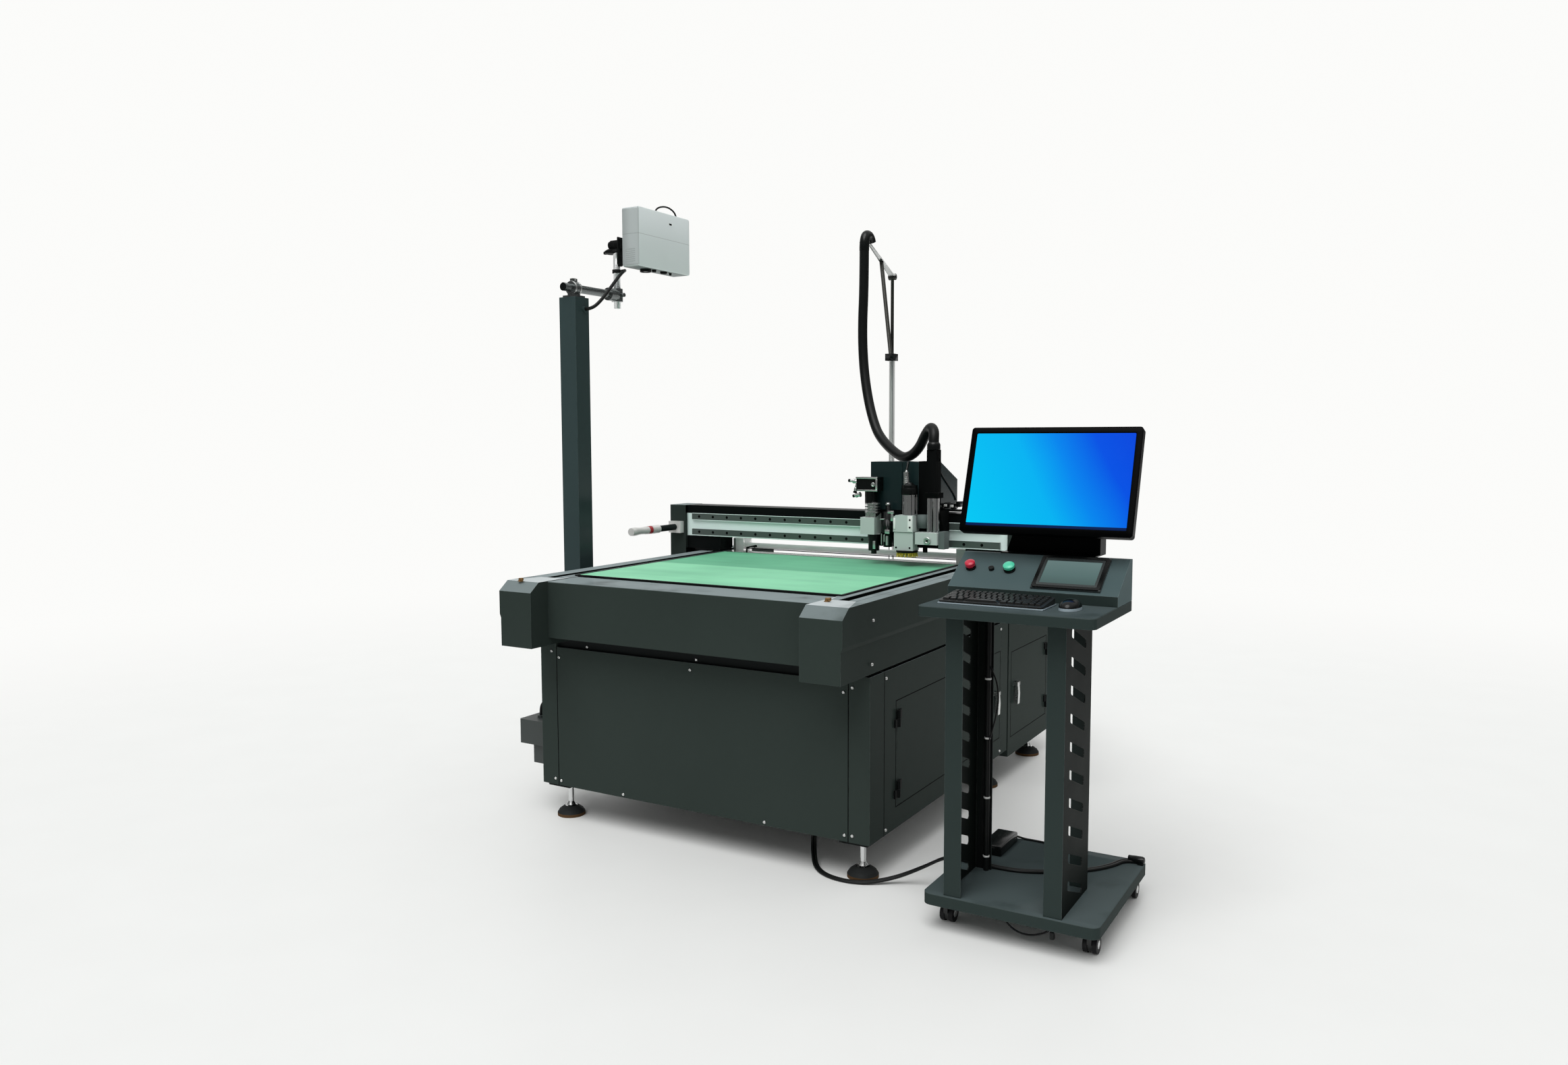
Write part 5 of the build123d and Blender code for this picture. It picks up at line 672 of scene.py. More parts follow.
def reshaped(name, node, move, body, slot, *finishes):
    """A piece in place of a node, its corners moved by a rule and its faces given the finishes."""
    def draw(shape):
        shape.from_mesh(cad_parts[node].data)
        bmesh.ops.remove_doubles(shape, verts=shape.verts, dist=1e-5)
        for corner in shape.verts:
            corner.co = move(*on_datum(corner.co))

    piece = settle(name, finishes[0], body, slot, draw)
    for finish, where in finishes[1:]:
        paint_faces(piece.data, finish, where)
    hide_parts(node)


def narrow_box(x, y, z):
    """The cable box drawn in from the right and from behind."""
    if z > 1227 and 460 < x < 555:
        return 499 if 490 < x < 495 else min(x, 541), min(y, 1283), z
    return x, y, z


TOOL_Y = 1193
tool_grey = powder_coat("tool_grey_anodise", (0.45, 0.51, 0.485), 0.36, 0.0012)
plate_grey = powder_coat("plate_grey_anodise", (0.11, 0.135, 0.13), 0.36, 0.0012)
gloss_black = moulded("gloss_black", (0.003, 0.004, 0.004), 0.22, 300, 0.02, gloss=0.25)
reshaped("carriage_body", "carriage_plate", narrow_box, "carriage", "tool_grey", deep_black,
         (plate_grey, lambda x, y, z: y < 1227 and x > 440),
         (gloss_black, lambda x, y, z: y < 1227 and x <= 440))
# Among these zinc bits, the upright rod at the regulator's foot and the thin flat bar across it are painted
# highlights: a reflection and a glint on its black body.
settle("regulator_fittings_and_glints", zinc, "carriage", "silver_steel",
       slab((350, 1162, 1216), (378, 1172, 1227), 2), slab((364, 1163, 1184), (375, 1171, 1217), 2),
       slab((338, 1160, 1130), (360, 1170, 1147), 2), pin((347, 1167, 1080), UP, 41, 6, 2),
       pin((319, 1172, 1082), UP, 47, 3, 1, 8), slab((312, 1166, 1188), (336, 1172, 1193), 1),
       turned((339, TOOL_Y, 1248), UP, ((0, 9), (2, 11.8), (8, 11.8), (10, 10), (12, 10), (13, 8))),
       pin((332, 1171, 1094), UP, 31, 4, 1.5))

# The head's housing: a front box with a groove for the lead and a sloping hood behind it, both of
# folded sheet in very dark slate.

dress(powder_coat("hood_slate", (0.0085, 0.020, 0.021), 0.45, gloss=0.0, lacquer=0.5), "head_housing")

# The left tool, an oscillating knife: black drive block in a bright frame with two air elbows,
# a black neck, silver cooling fins, a grey clamp block and a black knife holder.

UPPER_ELBOW, LOWER_ELBOW, ELBOW_TAIL = (-1, 0, 0.1), (-1, 0, -0.2), (-0.25, 0, -1)
dress(tool_grey, "left_tool")
trim(gloss_black, "left_tool", lambda x, y, z: z > 1259 or z < 1123)
trim(nickel, "left_tool", lambda x, y, z: 1197 < z <= 1259)
settle("knife_frame_and_highlight", zinc, "left_tool", "silver_steel",
       slab((199, 1164, 1360), (301, 1171, 1368), 1.2), slab((206, 1164, 1307), (301, 1171, 1314), 1.2),
       slab((292, 1164, 1314), (301, 1171, 1360), 1.2),
       turned((279, 1171, 1336), FRONT, ((0, 9), (3, 9), (4, 7.5), (4, 5), (2.5, 4.5), (2.5, 0))),
       # The narrow upright strip on the knife holder is a painted highlight on its gloss black cylinder.
       slab((279, 1167.5, 1062), (291, 1171, 1096), 1.5),
       turned((200, 1190, 1346), UPPER_ELBOW, ((0, 11), (4, 11), (5, 8.5), (16, 8.5), (17, 7))),
       turned((212, 1186, 1292), LOWER_ELBOW, ((0, 11), (4, 11), (5, 8.5), (14, 8.5), (15, 7))))
settle("knife_elbows", zinc, "left_tool", "silver_steel",
       turned((184, 1190, 1348), UPPER_ELBOW, ((0, 8), (1, 10), (9, 10), (11, 6), (22, 6), (23, 4)), 16),
       turned((196, 1186, 1341), ELBOW_TAIL, ((0, 6), (20, 6), (22, 8), (34, 8), (36, 5)), 16),
       turned((198, 1186, 1289), LOWER_ELBOW, ((0, 8), (1, 10), (8, 10), (9, 6), (14, 6)), 16))
settle("elbow_tips", gloss_black, "left_tool", "black_plastic",
       pin((163, 1190, 1350), UPPER_ELBOW, 11, 7, 2), pin((187, 1186, 1306), ELBOW_TAIL, 9, 8.6, 3.6),
       pin((185, 1186, 1286), LOWER_ELBOW, 10, 7, 2))

# The centre tool, a wheel cutter: a ribbed silver connector on a black cap, a polished motor tube
# and grey clamp blocks, with a ring of yellow bristles that presses the sheet down round the blade.

dress(tool_grey, "centre_tool")
trim(chrome, "centre_tool", lambda x, y, z: 1211 < z < 1296)
trim(gloss_black, "centre_tool", lambda x, y, z: 1296 <= z < 1337)
trim(nickel, "centre_tool", lambda x, y, z: z >= 1337)
settle("motor_cap", gloss_black, "centre_tool", "black_plastic",
       turned((437, TOOL_Y, 1295), UP, ((0, 31), (1.5, 34.5), (26, 34.5), (36, 30), (44, 20), (49, 14),
                                        (52, 13)), 32))
settle("lead_plug", nickel, "centre_tool", "silver_steel",
       turned((423, TOOL_Y, 1343), UP,
              ((0, 10), *ribs(6, 8, (1, 15), (5, 14.6), (5.5, 12.6), (8, 12.4), taper=0.9),
               (52, 6), (56, 5))))
settle("plug_lead", gloss_black, "centre_tool", "black_plastic",
       pin((423, TOOL_Y, 1396), (0, 0.45, 0.9), 41, 5, 1, 16))
# The polished plate on the right of the upper clamp block is a painted highlight on the block's face.
settle("clamp_plates_and_highlight", moulded("polished_plate", (0.80, 0.82, 0.80), 0.25), "centre_tool", "silver_steel",
       slab((444, 1158.4, 1142), (465, 1161, 1208), 1), slab((379.5, 1157.4, 1152), (389, 1161, 1198), 1))
rib_turns = [math.radians(turn) for turn in range(0, 360, 30)]
settle("motor_ribs", chrome, "centre_tool", "silver_steel",
       *[pin((440 + 29.6 * math.cos(turn), TOOL_Y + 29.6 * math.sin(turn), 1211), UP, 85, 2.4, 0.8, 8)
         for turn in rib_turns])
clamp_screws = [(spot, FRONT) for spot in
                ((452, 1164, 1074), (390, 1164, 1074), (454.5, 1158.4, 1160), (454.5, 1158.4, 1192))]
drive_screws("clamp_screws", clamp_screws, 0.0042, 0.0022, 0.6, 0.0014, deep_black,
             "centre_tool")


def bristle_recipe():
    points, outer, inner, height, finish = start_recipe(
        "pressing_bristles", "Outer radius", "Inner radius", "Height")
    disc = points.node("GeometryNodeMeshCircle", {"fill_type": "NGON"}, {"Vertices": 40, "Radius": outer})
    spread = points.node("GeometryNodeDistributePointsOnFaces", {"distribute_method": "POISSON"},
                         {"Mesh": disc, "Distance Min": 0.0030, "Density Max": 90000.0, "Seed": 7})
    away = points.node("GeometryNodeInputPosition", {}, {}).reach()
    lean, stretch = (
        points.node("FunctionNodeRandomValue", {"data_type": "FLOAT_VECTOR"},
                    {0: least, 1: most, "Seed": seed})
        for least, most, seed in (((-0.22, -0.22, -3.1), (0.22, 0.22, 3.1), 11),
                                  ((0.7, 0.7, 0.82), (1.3, 1.3, 1.0), 23)))
    hair = points.node("GeometryNodeMeshCone", {"fill_type": "NGON"}, {
        "Vertices": 5, "Radius Top": 0.0009, "Radius Bottom": 0.0017, "Depth": height})
    hung = hair.node("GeometryNodeTransform", {}, {"Geometry": hair, "Rotation": (math.pi, 0, 0)})
    tufts = points.node("GeometryNodeInstanceOnPoints", {}, {
        "Points": spread, "Selection": away > inner, "Instance": hung, "Rotation": lean, "Scale": stretch})
    ring = points.node("GeometryNodeInstanceOnPoints", {}, {"Points": points, "Instance": tufts})
    return end_recipe(ring, finish)


def bristle_yellow():
    material, shader, place = new_finish("bristle_yellow")
    tufts = place.noise(260, 3)
    tufts.between(0.35, 0.65).mix((0.30, 0.20, 0.015, 1), (0.74, 0.56, 0.06, 1)).into(shader, "Base Color")
    (0.55 + 0.2 * (tufts - 0.5)).into(shader, "Roughness")
    return material


BLADE_X = 428
bristles = grow("pressing_bristles", bristle_recipe(), [((BLADE_X, TOOL_Y, 1056), UP)],
                {"Outer radius": 0.043, "Inner radius": 0.021, "Height": 0.0235}, bristle_yellow(),
                "centre_tool")
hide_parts("presser_ring")
settle("bristle_holder", hinge_black, "centre_tool", "black_plastic",
       turned((BLADE_X, TOOL_Y, 1062), DOWN, ((0, 44), (1, 46.5), (7, 46.5), (9, 44), (9.5, 0)), 40))

# The right tool, a creasing wheel: twin polished guide rods under a black cap, a grey block with a
# round lock knob, and a dark side plate.

dress(tool_grey, "right_tool")
trim(chrome, "right_tool", lambda x, y, z: 1142 < z < 1284)
trim(deep_black, "right_tool", lambda x, y, z: z >= 1284 or z < 1090.9 and abs(y - TOOL_Y) < 12)
trim(plate_grey, "right_tool", lambda x, y, z: x > 576.5)
settle("lock_knob", zinc, "right_tool", "silver_steel",
       turned((534, 1158, 1108), FRONT, ((0, 12), (1, 15.5), (5, 15.5), (6.5, 14), (6.5, 8), (3, 7),
                                         (3, 0)), 28))
settle("lock_knob_slot", deep_black, "right_tool", "black_plastic",
       turned((534, 1155.4, 1108), FRONT, ((0, 3), (1, 4.5), (1.6, 3.5)), 12),
       turned((488, TOOL_Y, 1075), UP, ((0, 0), (0, 11), (2, 13), (14, 13), (16, 11)), 20))

# The plugs behind the head: moulded black connectors with pale sleeves, pushed side by side into
# a row beside the hood.

plugs = ((512, 1348, 1236, 46), (538, 1352, 1240, 44), (566, 1356, 1238, 40), (590, 1360, 1246, 34))
settle("head_plugs", gloss_black, "carriage", "black_plastic",
       *[slab((x - 9, y - 9, z - 7), (x + 9, y + length, z + 17), 3) for x, y, z, length in plugs],
       slab((500, 1340, 1220), (606, 1396, 1229), 2))
settle("plug_sleeves", moulded("pale_sleeve", (0.62, 0.63, 0.60), 0.4), "carriage", "white_plastic",
       *[slab((x - 7, y - 12, z), (x + 7, y - 8, z + 11), 1.5) for x, y, z, _ in plugs[:3]])

# The hose boom: a brushed steel pole on the rear cabinet, a black collar, a thin dark upper tube
# and a bright boom with its dark brace.

TIP_Y = 1642


def draw_in_tip(x, y, z):
    """The boom's tip drawn in under the hose's elbow."""
    if z > 2438 and math.hypot(x, y - TIP_Y) < 25:
        return 0.6 * x, max(TIP_Y + 4, TIP_Y + 0.6 * (y - TIP_Y)), min(z, 2458)
    return x, y, z


reshaped("boom_pole", "hose_pole", draw_in_tip, "machine", "silver_steel",
         metal("brushed_tube", (0.60, 0.61, 0.60), 0.28, (40, 40, 1)),
         (metal("dark_tube", (0.055, 0.055, 0.05), 0.35), lambda x, y, z: 1945 < z < 2318),
         (gloss_black, lambda x, y, z: 1905 < z <= 1945))


def smooth_line(route):
    """The points of one smooth line along a route, in millimetres."""
    curve = bpy.data.curves.new("route", "CURVE")
    curve.dimensions = "3D"
    spline = curve.splines.new("NURBS")
    spline.points.add(len(route) - 1)
    for knot, point in zip(spline.points, route):
        knot.co = (*point, 1)
    spline.order_u = 3
    spline.use_endpoint_u = True
    spline.resolution_u = 14
    line = stand("route", curve)
    track = plain_mesh(line)
    bpy.data.objects.remove(line)
    return [corner.co.copy() for corner in track.vertices]


def sweep(path, radius, sides=20, aside=0):
    """The form of a closed round tube along points, or of one lane of a flat lead, set to one side."""
    def draw(shape):
        rings = []
        for i, spot in enumerate(path):
            ahead = (path[min(i + 1, len(path) - 1)] - path[max(i - 1, 0)]).normalized()
            level = ahead.cross(Vector(UP))
            if aside and level.length > 0.25:
                across = level.normalized()
            elif not i:
                across = ahead.orthogonal()
            across = (across - ahead * across.dot(ahead)).normalized()
            rings.append(circle(shape, spot + aside * across, across, across.cross(ahead), radius, sides))
        skin(shape, rings)
    return draw


elbow_line = smooth_line(((0, TIP_Y, 2400), (0, TIP_Y, 2470), (0, 1700, 2478), (0, 1714, 2447)))
settle("boom_elbow", gloss_black, "machine", "black_plastic", sweep(elbow_line, 23, 28))

# The vacuum hose: a smooth black rubber hose in two lengths, from the boom's tip to the sleeve
# behind the head, and from there in a loop down into the head's socket.


def rubber(name, colour, roughness, scale=500):
    material, shader, place = new_finish(name, 0.2)
    grain = place.noise(scale, 3)
    relief(place, shader, grain, 0.08, 0.0006)
    grain.mix(tone(colour, 0.8), tone(colour, 1.25)).into(shader, "Base Color")
    (roughness + 0.12 * (place.noise(25, 3) - 0.5)).into(shader, "Roughness")
    return material


def lay_cord(name, route, radius, length, material, slot, body, stiffness, lay, stands_for=None, lanes=(0,)):
    """A cord drawn along its route, riding on one body or left in place between two, in one lane or in lanes
    side by side.
    """
    drop = Vector((0, 0, abs(lanes[0])))
    path = [spot - drop for spot in smooth_line(route)]
    track = [at(*spot) for spot in path]
    if not isinstance(body, str):
        body = (*body, track[0], track[-1])
    cord = settle(name, material, body, slot, *[sweep(path, radius, aside=lane) for lane in lanes])
    if stands_for:
        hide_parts(stands_for)
    0.002 * radius * len(lanes)


SLEEVE, SOCKET = (203.5, 1497.5, 1488), (520, 1252, 1483)
hose_skin = rubber("hose_skin", (0.004, 0.005, 0.005), 0.38)
drop_route = ((0, TIP_Y, 2439), (0, TIP_Y, 2248), (-8, 1640, 2046), (3, 1630, 1880), (35, 1605, 1738),
              (78, 1575, 1622), (133, 1540, 1531), SLEEVE)
loop_route = (SLEEVE, (274, 1455, 1445), (346, 1410, 1452), (405, 1370, 1492), (448, 1332, 1548),
              (486, 1299, 1580), (513, 1271, 1563), (520, 1252, 1522), SOCKET)
lay_cord("hose_drop", drop_route, 22, 1.037, hose_skin, "hose_black", ("machine", "gantry"),
         "stiff", "hanging", "hose_upper")
lay_cord("hose_loop", loop_route, 22, 0.517, hose_skin, "hose_black", ("gantry", "carriage"),
         "stiff", "hanging", "hose_lower")
settle("socket_cuff", gloss_black, "carriage", "black_plastic",
       turned(SOCKET, UP, ((0, 26), (1, 28), (22, 28), (30, 24), (32, 22)), 32))

# The hood's lead: one thin black rubber lead, pressed into the housing's groove and led down to
# the plugs behind the head.

cable_skin = rubber("cable_skin", (0.005, 0.006, 0.006), 0.40)


def lay_lead(name, route, radius, length, *more):
    """A cord in the skin of the black cables."""
    lay_cord(name, route, radius, length, cable_skin, "cable_black", *more)


hood_route = [(503, y, z) for y, z in ((1352, 1402), (1362, 1396), (1378, 1376), (1424, 1348), (1486, 1310),
                                       (1536, 1276), (1548, 1258))]
lay_lead("hood_lead", hood_route, 3, 0.245, "carriage", "limp", "loose")

# The projector column: a square steel tube welded to a floor plate and tied to the cabinet, in a
# glossier coat of the same slate.

dress(powder_coat("column_slate", (0.032, 0.051, 0.052), 0.45, gloss=0.0, lacquer=0.5), "projector_column")

# The projector's arm and rod: a gunmetal tube in bright clamps on the column, a chromed drop rod
# and a black forked head, with one thick cable from the column to the rod.

TILT_Y, TILT_Z = 1011, 2418
dress(metal("gunmetal", (0.20, 0.215, 0.215), 0.22, metallic=0.9), "projector_arm")
trim(gloss_black, "projector_arm", lambda x, y, z: y < 662 or y > 1030)


def slim_head(x, y, z):
    """The rod's head drawn in to the core of the tilting clamp."""
    if z > 2388 and x < -906:
        return x, TILT_Y + 0.6 * (y - TILT_Y), TILT_Z + 0.7 * (z - TILT_Z)
    return x, y, z


reshaped("drop_rod", "projector_rod", slim_head, "projector_rod", "foot_chrome",
         metal("rod_chrome", (0.84, 0.85, 0.85), 0.18, (20, 20, 1), metallic=0.55),
         (hinge_black, lambda x, y, z: z > 2380.5 or 2289 < z < 2307))
settle("tilt_head", hinge_black, "projector_rod", "black_plastic",
       turned((-992, TILT_Y, TILT_Z), RIGHT,
              ((0, 10), (2, 18), (10, 18), (11, 21), *ribs(4, 9, (12, 22.5), (17, 22.5), (19, 20)),
               (50, 23), (60, 23), (62, 18)), 28),
       turned((-978, TILT_Y, 2378), UP, ((0, 26), (3, 35), (14, 35), (18, 28), (22, 22)), 32),
       slab((-1026, 1003, 2380), (-1006, 1019, 2394), 4), slab((-932, 986, 2326), (-924, 1036, 2450), 3),
       slab((-940, 1000, 2320), (-925, 1022, 2342), 4),
       *[turned((-924, y, 2440), RIGHT, ((0, 5), (3, 5), (4, 3.5)), 6) for y in (994, 1028)])
settle("arm_clamp_rings", zinc, "machine", "silver_steel",
       *[pin((-953, y - 4, 2190), BACK, 8, 30.5, 4.5, 32) for y in (694, 726)],
       turned((-953, 710, 2219), UP, ((0, 10), (2, 12), (12, 12), (14, 9)), 6))
arm_route = ((-898, 722, 2098), (-866, 722, 2098), (-845, 752, 2126), (-843, 826, 2196),
             (-852, 906, 2264), (-878, 974, 2294), (-907, TILT_Y, 2298), (-932, TILT_Y, 2298))
lay_lead("arm_cable", arm_route, 7.5, 0.429, ("machine", "projector_rod"), "medium", "hanging",
         "projector_cable")

# The projector: a pale moulded case in two halves with a seam round it, side vents, a lens turret
# underneath and a small sensor window on its broad face.


def case_plastic(name, share, gloss=0.5):
    material, shader, place = new_finish(name, gloss)
    seam = 1 - abs(place.axes()[2] - 2.452).between(0.0006, 0.0016)
    relief(place, shader, 0.25 * place.noise(1300, 2) - seam, 0.35, 0.0004)
    shade = place.noise(3, 4).mix(tone((0.67, 0.735, 0.73), share), tone((0.72, 0.795, 0.79), share))
    seam.mix(shade, tone((0.47, 0.515, 0.51), share)).into(shader, "Base Color")
    (0.40 + 0.1 * (place.noise(14, 4) - 0.5)).into(shader, "Roughness")
    return material


CASE_MIDDLE, CASE_FRONT, CASE_BACK, CASE_BOTTOM, CASE_TOP, CASE_ROUND = -833, 960, 1360, 2308, 2571, 4.3
pale_case = case_plastic("pale_case", 1.0)
reshaped("projector_case", "projector", lambda x, y, z: (x, y, z), "projector", "white_plastic", pale_case,
         # The end face and the underside take darker copies of the same plastic: painted shade on the faces
         # turned from the light.
         (case_plastic("pale_case_end_shaded", 0.58), lambda x, y, z: y < CASE_FRONT + 6),
         (case_plastic("pale_case_under_shaded", 0.34, 0.02), lambda x, y, z: z < CASE_BOTTOM + 0.5),
         (hinge_black, lambda x, y, z: z < CASE_BOTTOM - 0.5 or x < -878.5))
settle("case_beads", pale_case, "projector", "white_plastic",
       *[pin((-877.5, y, z), RIGHT, 87, 1.6, 0.8, lead=0.5)
         for y in (CASE_FRONT + CASE_ROUND, CASE_BACK - CASE_ROUND)
         for z in (CASE_BOTTOM + CASE_ROUND, CASE_TOP - CASE_ROUND)])


def key_recipe():
    points, height, share, finish = start_recipe("raised_keys", "Height", "Top share")
    foot = points.node("GeometryNodeMeshGrid", {}, {"Size X": 1.0, "Size Y": 1.0,
                                                    "Vertices X": 2, "Vertices Y": 2})
    body, top = push(foot, True, 0.75 * height, share)
    crown, _ = push(body, top, 0.25 * height, 0.93)
    return end_recipe(on_spots(points, crown), finish)


raised_keys = key_recipe()
vents = [((CASE_MIDDLE, CASE_FRONT, 2330 + 9 * row), FRONT, (0.052, 0.004, 1)) for row in range(7)]
vents += [((CASE_MIDDLE, CASE_BACK, 2340 + 12 * row), BACK, (0.060, 0.005, 1)) for row in range(12)]
grow("projector_vents", raised_keys, vents, {"Height": 0.0006, "Top share": 0.96},
     powder_coat("vent_shadow", (0.33, 0.365, 0.36), 0.7, 0.0003), "projector")
settle("lens_glass", gloss_black, "projector", "dark_gloss",
       turned((CASE_MIDDLE, 1070, 2301), DOWN, ((0, 20.5), (1, 20), (4, 14), (5.5, 7), (6, 0)), 32),
       slab((-788.6, 1195, 2521), (-787.2, 1214, 2529), 0.5))
settle("case_feet", hinge_black, "projector", "black_plastic",
       *[turned((-815, y, CASE_BOTTOM), DOWN, ((0, radius), (8, radius - 1), (11, 0.7 * radius)), 16)
         for y, radius in ((1110, 11), (1184, 17), (1236, 7))])
case_route = [(-850, y, z) for y, z in ((1166, CASE_TOP), (1172, 2592), (1205, 2612), (1262, 2622),
                                        (1312, 2612), (1336, 2592), (1340, CASE_TOP))]
lay_lead("case_lead", case_route, 4, 0.217, "projector", "medium", "loose")

# The junction box on the left side: two dark moulded boxes screwed on one under the other, and one
# short cable that bends from the upper one into the cabinet.

dress(moulded("box_plastic", (0.030, 0.038, 0.036), 0.5), "junction_box")
side_route = [(x, 300, z) for x, z in ((-818, 395), (-818, 419), (-810, 443), (-790, 455), (-766, 447),
                                       (-744, 447))]
lay_lead("side_cable", side_route, 6, 0.117, "machine", "limp", "loose", "junction_cable")

# The console's frame: a rounded steel tray, two folded channel posts with slanting slots, painted
# near black inside as the shade within them, with a taped cable bundle behind the left one, and the
# power supply on the tray.

BUNDLE_X, BUNDLE_Y, OVER_TRAY = 1131, 269.8, 124.1
# Its up-facing faces are lightened, partly dust and partly painted top light.
console_coat = powder_coat("console_powder_coat", (0.024, 0.035, 0.033), 0.5, 0.003, 0.0, 0.12,
                           top_light_and_dust=(0.070, 0.092, 0.094))
dress(console_coat, "console_posts", "console_desk")
# The posts' webs and slot corners are near black: painted shade inside the channels.
web_in_shade = powder_coat("web_in_shade", (0.0075, 0.010, 0.009), 0.5, gloss=0.03)
trim(web_in_shade, "console_posts", lambda x, y, z: (1089.2 < x < 1144.8 or x > 1456.5) and y > 13.2)
trim(cable_skin, "console_posts", lambda x, y, z: (x - BUNDLE_X) ** 2 + (y - BUNDLE_Y) ** 2 < 110)


def lay_flat(x, y, z):
    """The supply laid flat inside its case, and the gland drawn in under its boot."""
    if z > OVER_TRAY and x < 1200:
        return 1066 + 0.78 * (x - 1087), 408 + 1.75 * (y - 422), min(z, 152)
    if z > OVER_TRAY and x > 1540:
        return x, 574 + 0.5 * (y - 574), min(z, 142)
    return x, y, z


reshaped("console_tray", "console_base", lay_flat, "machine", "console_paint", console_coat,
         (gloss_black, lambda x, y, z: z > OVER_TRAY))
settle("tray_fittings", gloss_black, "machine", "black_plastic",
       slab((1062, 402, 124.3), (1135, 575, 160), 5), slab((1104, 573, 129), (1124, 592, 147), 4),
       turned((1516, 574, 137), RIGHT, ((0, 10), (2, 11.5), (26, 13), (46, 13), (52, 11), (54, 6))),
       slab((1415, 57, 60), (1421, 63, 121), 1), slab((1411, 53, 37), (1425, 67, 62), 3))


def round_corner(x_low, x_high, corner, ways, radius, steps=6):
    """The form of a fillet in one corner of a slot, as thick as the wall, in millimetres."""
    corner, ways = Vector(corner), [Vector(way).normalized() for way in ways]
    half = ways[0].angle(ways[1]) / 2
    middle = corner + (ways[0] + ways[1]).normalized() * radius / math.sin(half)
    first, last = ((corner + way * radius / math.tan(half) - middle).normalized() for way in ways)
    arc = [corner] + [middle + radius * first.slerp(last, i / steps) for i in range(steps + 1)]

    def draw(shape):
        low, high = ([shape.verts.new((x, *spot)) for spot in arc] for x in (x_low, x_high))
        for i in range(len(arc)):
            j = (i + 1) % len(arc)
            shape.faces.new((low[i], low[j], high[j], high[i]))
            if 0 < i < len(arc) - 1:
                shape.faces.new((low[0], low[i], low[j]))
                shape.faces.new((high[0], high[j], high[i]))
    return draw


SLOT_FRONT, SLOT_BACK, SLOT_WIDTH, SLOT_FALL = 64.4, 216.4, 29, 60
slant = Vector((SLOT_BACK - SLOT_FRONT, -SLOT_FALL))
fillets = []
for x in (1089.2, 1457.2):
    for z in (134 + 84.6 * row for row in range(10)):
        for y, rise, ways, radius in (
                (SLOT_FRONT, SLOT_FALL, ((0, 1), slant), 12),
                (SLOT_FRONT, SLOT_FALL + SLOT_WIDTH, ((0, -1), slant), 5),
                (SLOT_BACK, 0, ((0, 1), -slant), 10), (SLOT_BACK, SLOT_WIDTH, ((0, -1), -slant), 14)):
            fillets.append(round_corner(x, x + 2.6, (y, z + rise), ways, radius))
settle("slot_corners", web_in_shade, "machine", "console_paint", *fillets)
supply_route = ((1114, 588, 138), (1128, 598, 134), (1150, 604, 127.5), (1180, 605, 127.5),
                (1215, 604, 127.5), (1255, 594, 127.5), (1290, 566, 127.5), (1318, 520, 127.5),
                (1338, 470, 127.5), (1358, 425, 127.5), (1370, 392, 130))
lay_lead("supply_lead", supply_route, 3.5, 0.383, "machine", "limp", "loose")
stand_route = ((1138, 266, 802), (1148, 262, 786), (1164, 262, 752), (1170, 262, 696), (1161, 262, 638),
               (1149, 262, 592), (1140, 264, 564), (1136, 266, 550))
lay_lead("stand_lead", stand_route, 2.6, 0.263, "machine", "limp", "hanging")
tray_route = [(x, 60, z) for x, z in ((1256, 121), (1259, 96), (1272, 62), (1298, 40), (1337, 32),
                                      (1376, 42), (1404, 58), (1418, 74), (1421, 98), (1421, 121))]
lay_lead("tray_lead", tray_route, 3, 0.273, "machine", "limp", "hanging")


def tie_recipe():
    points, radius, width, finish = start_recipe("cable_ties", "Radius", "Width")
    hoop = points.node("GeometryNodeCurvePrimitiveCircle", {}, {"Resolution": 20, "Radius": radius})
    strip = points.node("GeometryNodeCurvePrimitiveQuadrilateral", {}, {"Width": 0.0016, "Height": width})
    tie = hoop.node("GeometryNodeCurveToMesh", {}, {"Curve": hoop, "Profile Curve": strip})
    return end_recipe(on_spots(points, tie), finish)


ties = [((BUNDLE_X, BUNDLE_Y, z), UP) for z in (172, 368, 565, 760)]
grow("cable_ties", tie_recipe(), ties, {"Radius": 0.0098, "Width": 0.006},
     moulded("tie_white", (0.70, 0.71, 0.69), 0.4), "machine")

# The control box's buttons: red and green moulded caps in black collars, with a black buzzer
# between them, all clamped into the slope of a folded steel box.


def tilted(foot, cosine, sine):
    """A sloping face that stands on its foot, with X to the right and Z out of the face."""
    x, y, z = foot
    return Matrix(((1, 0, 0, x), (0, cosine, -sine, y), (0, sine, cosine, z), (0, 0, 0, 1)))


SLOPE = tilted((1027, 175, 1066), 0.834662, 0.550763)


def above_slope(x, y, z):
    """Height of a place over the control box's slope, in millimetres."""
    return (Vector((x, y, z)) - SLOPE.translation).dot(SLOPE.col[2].xyz)


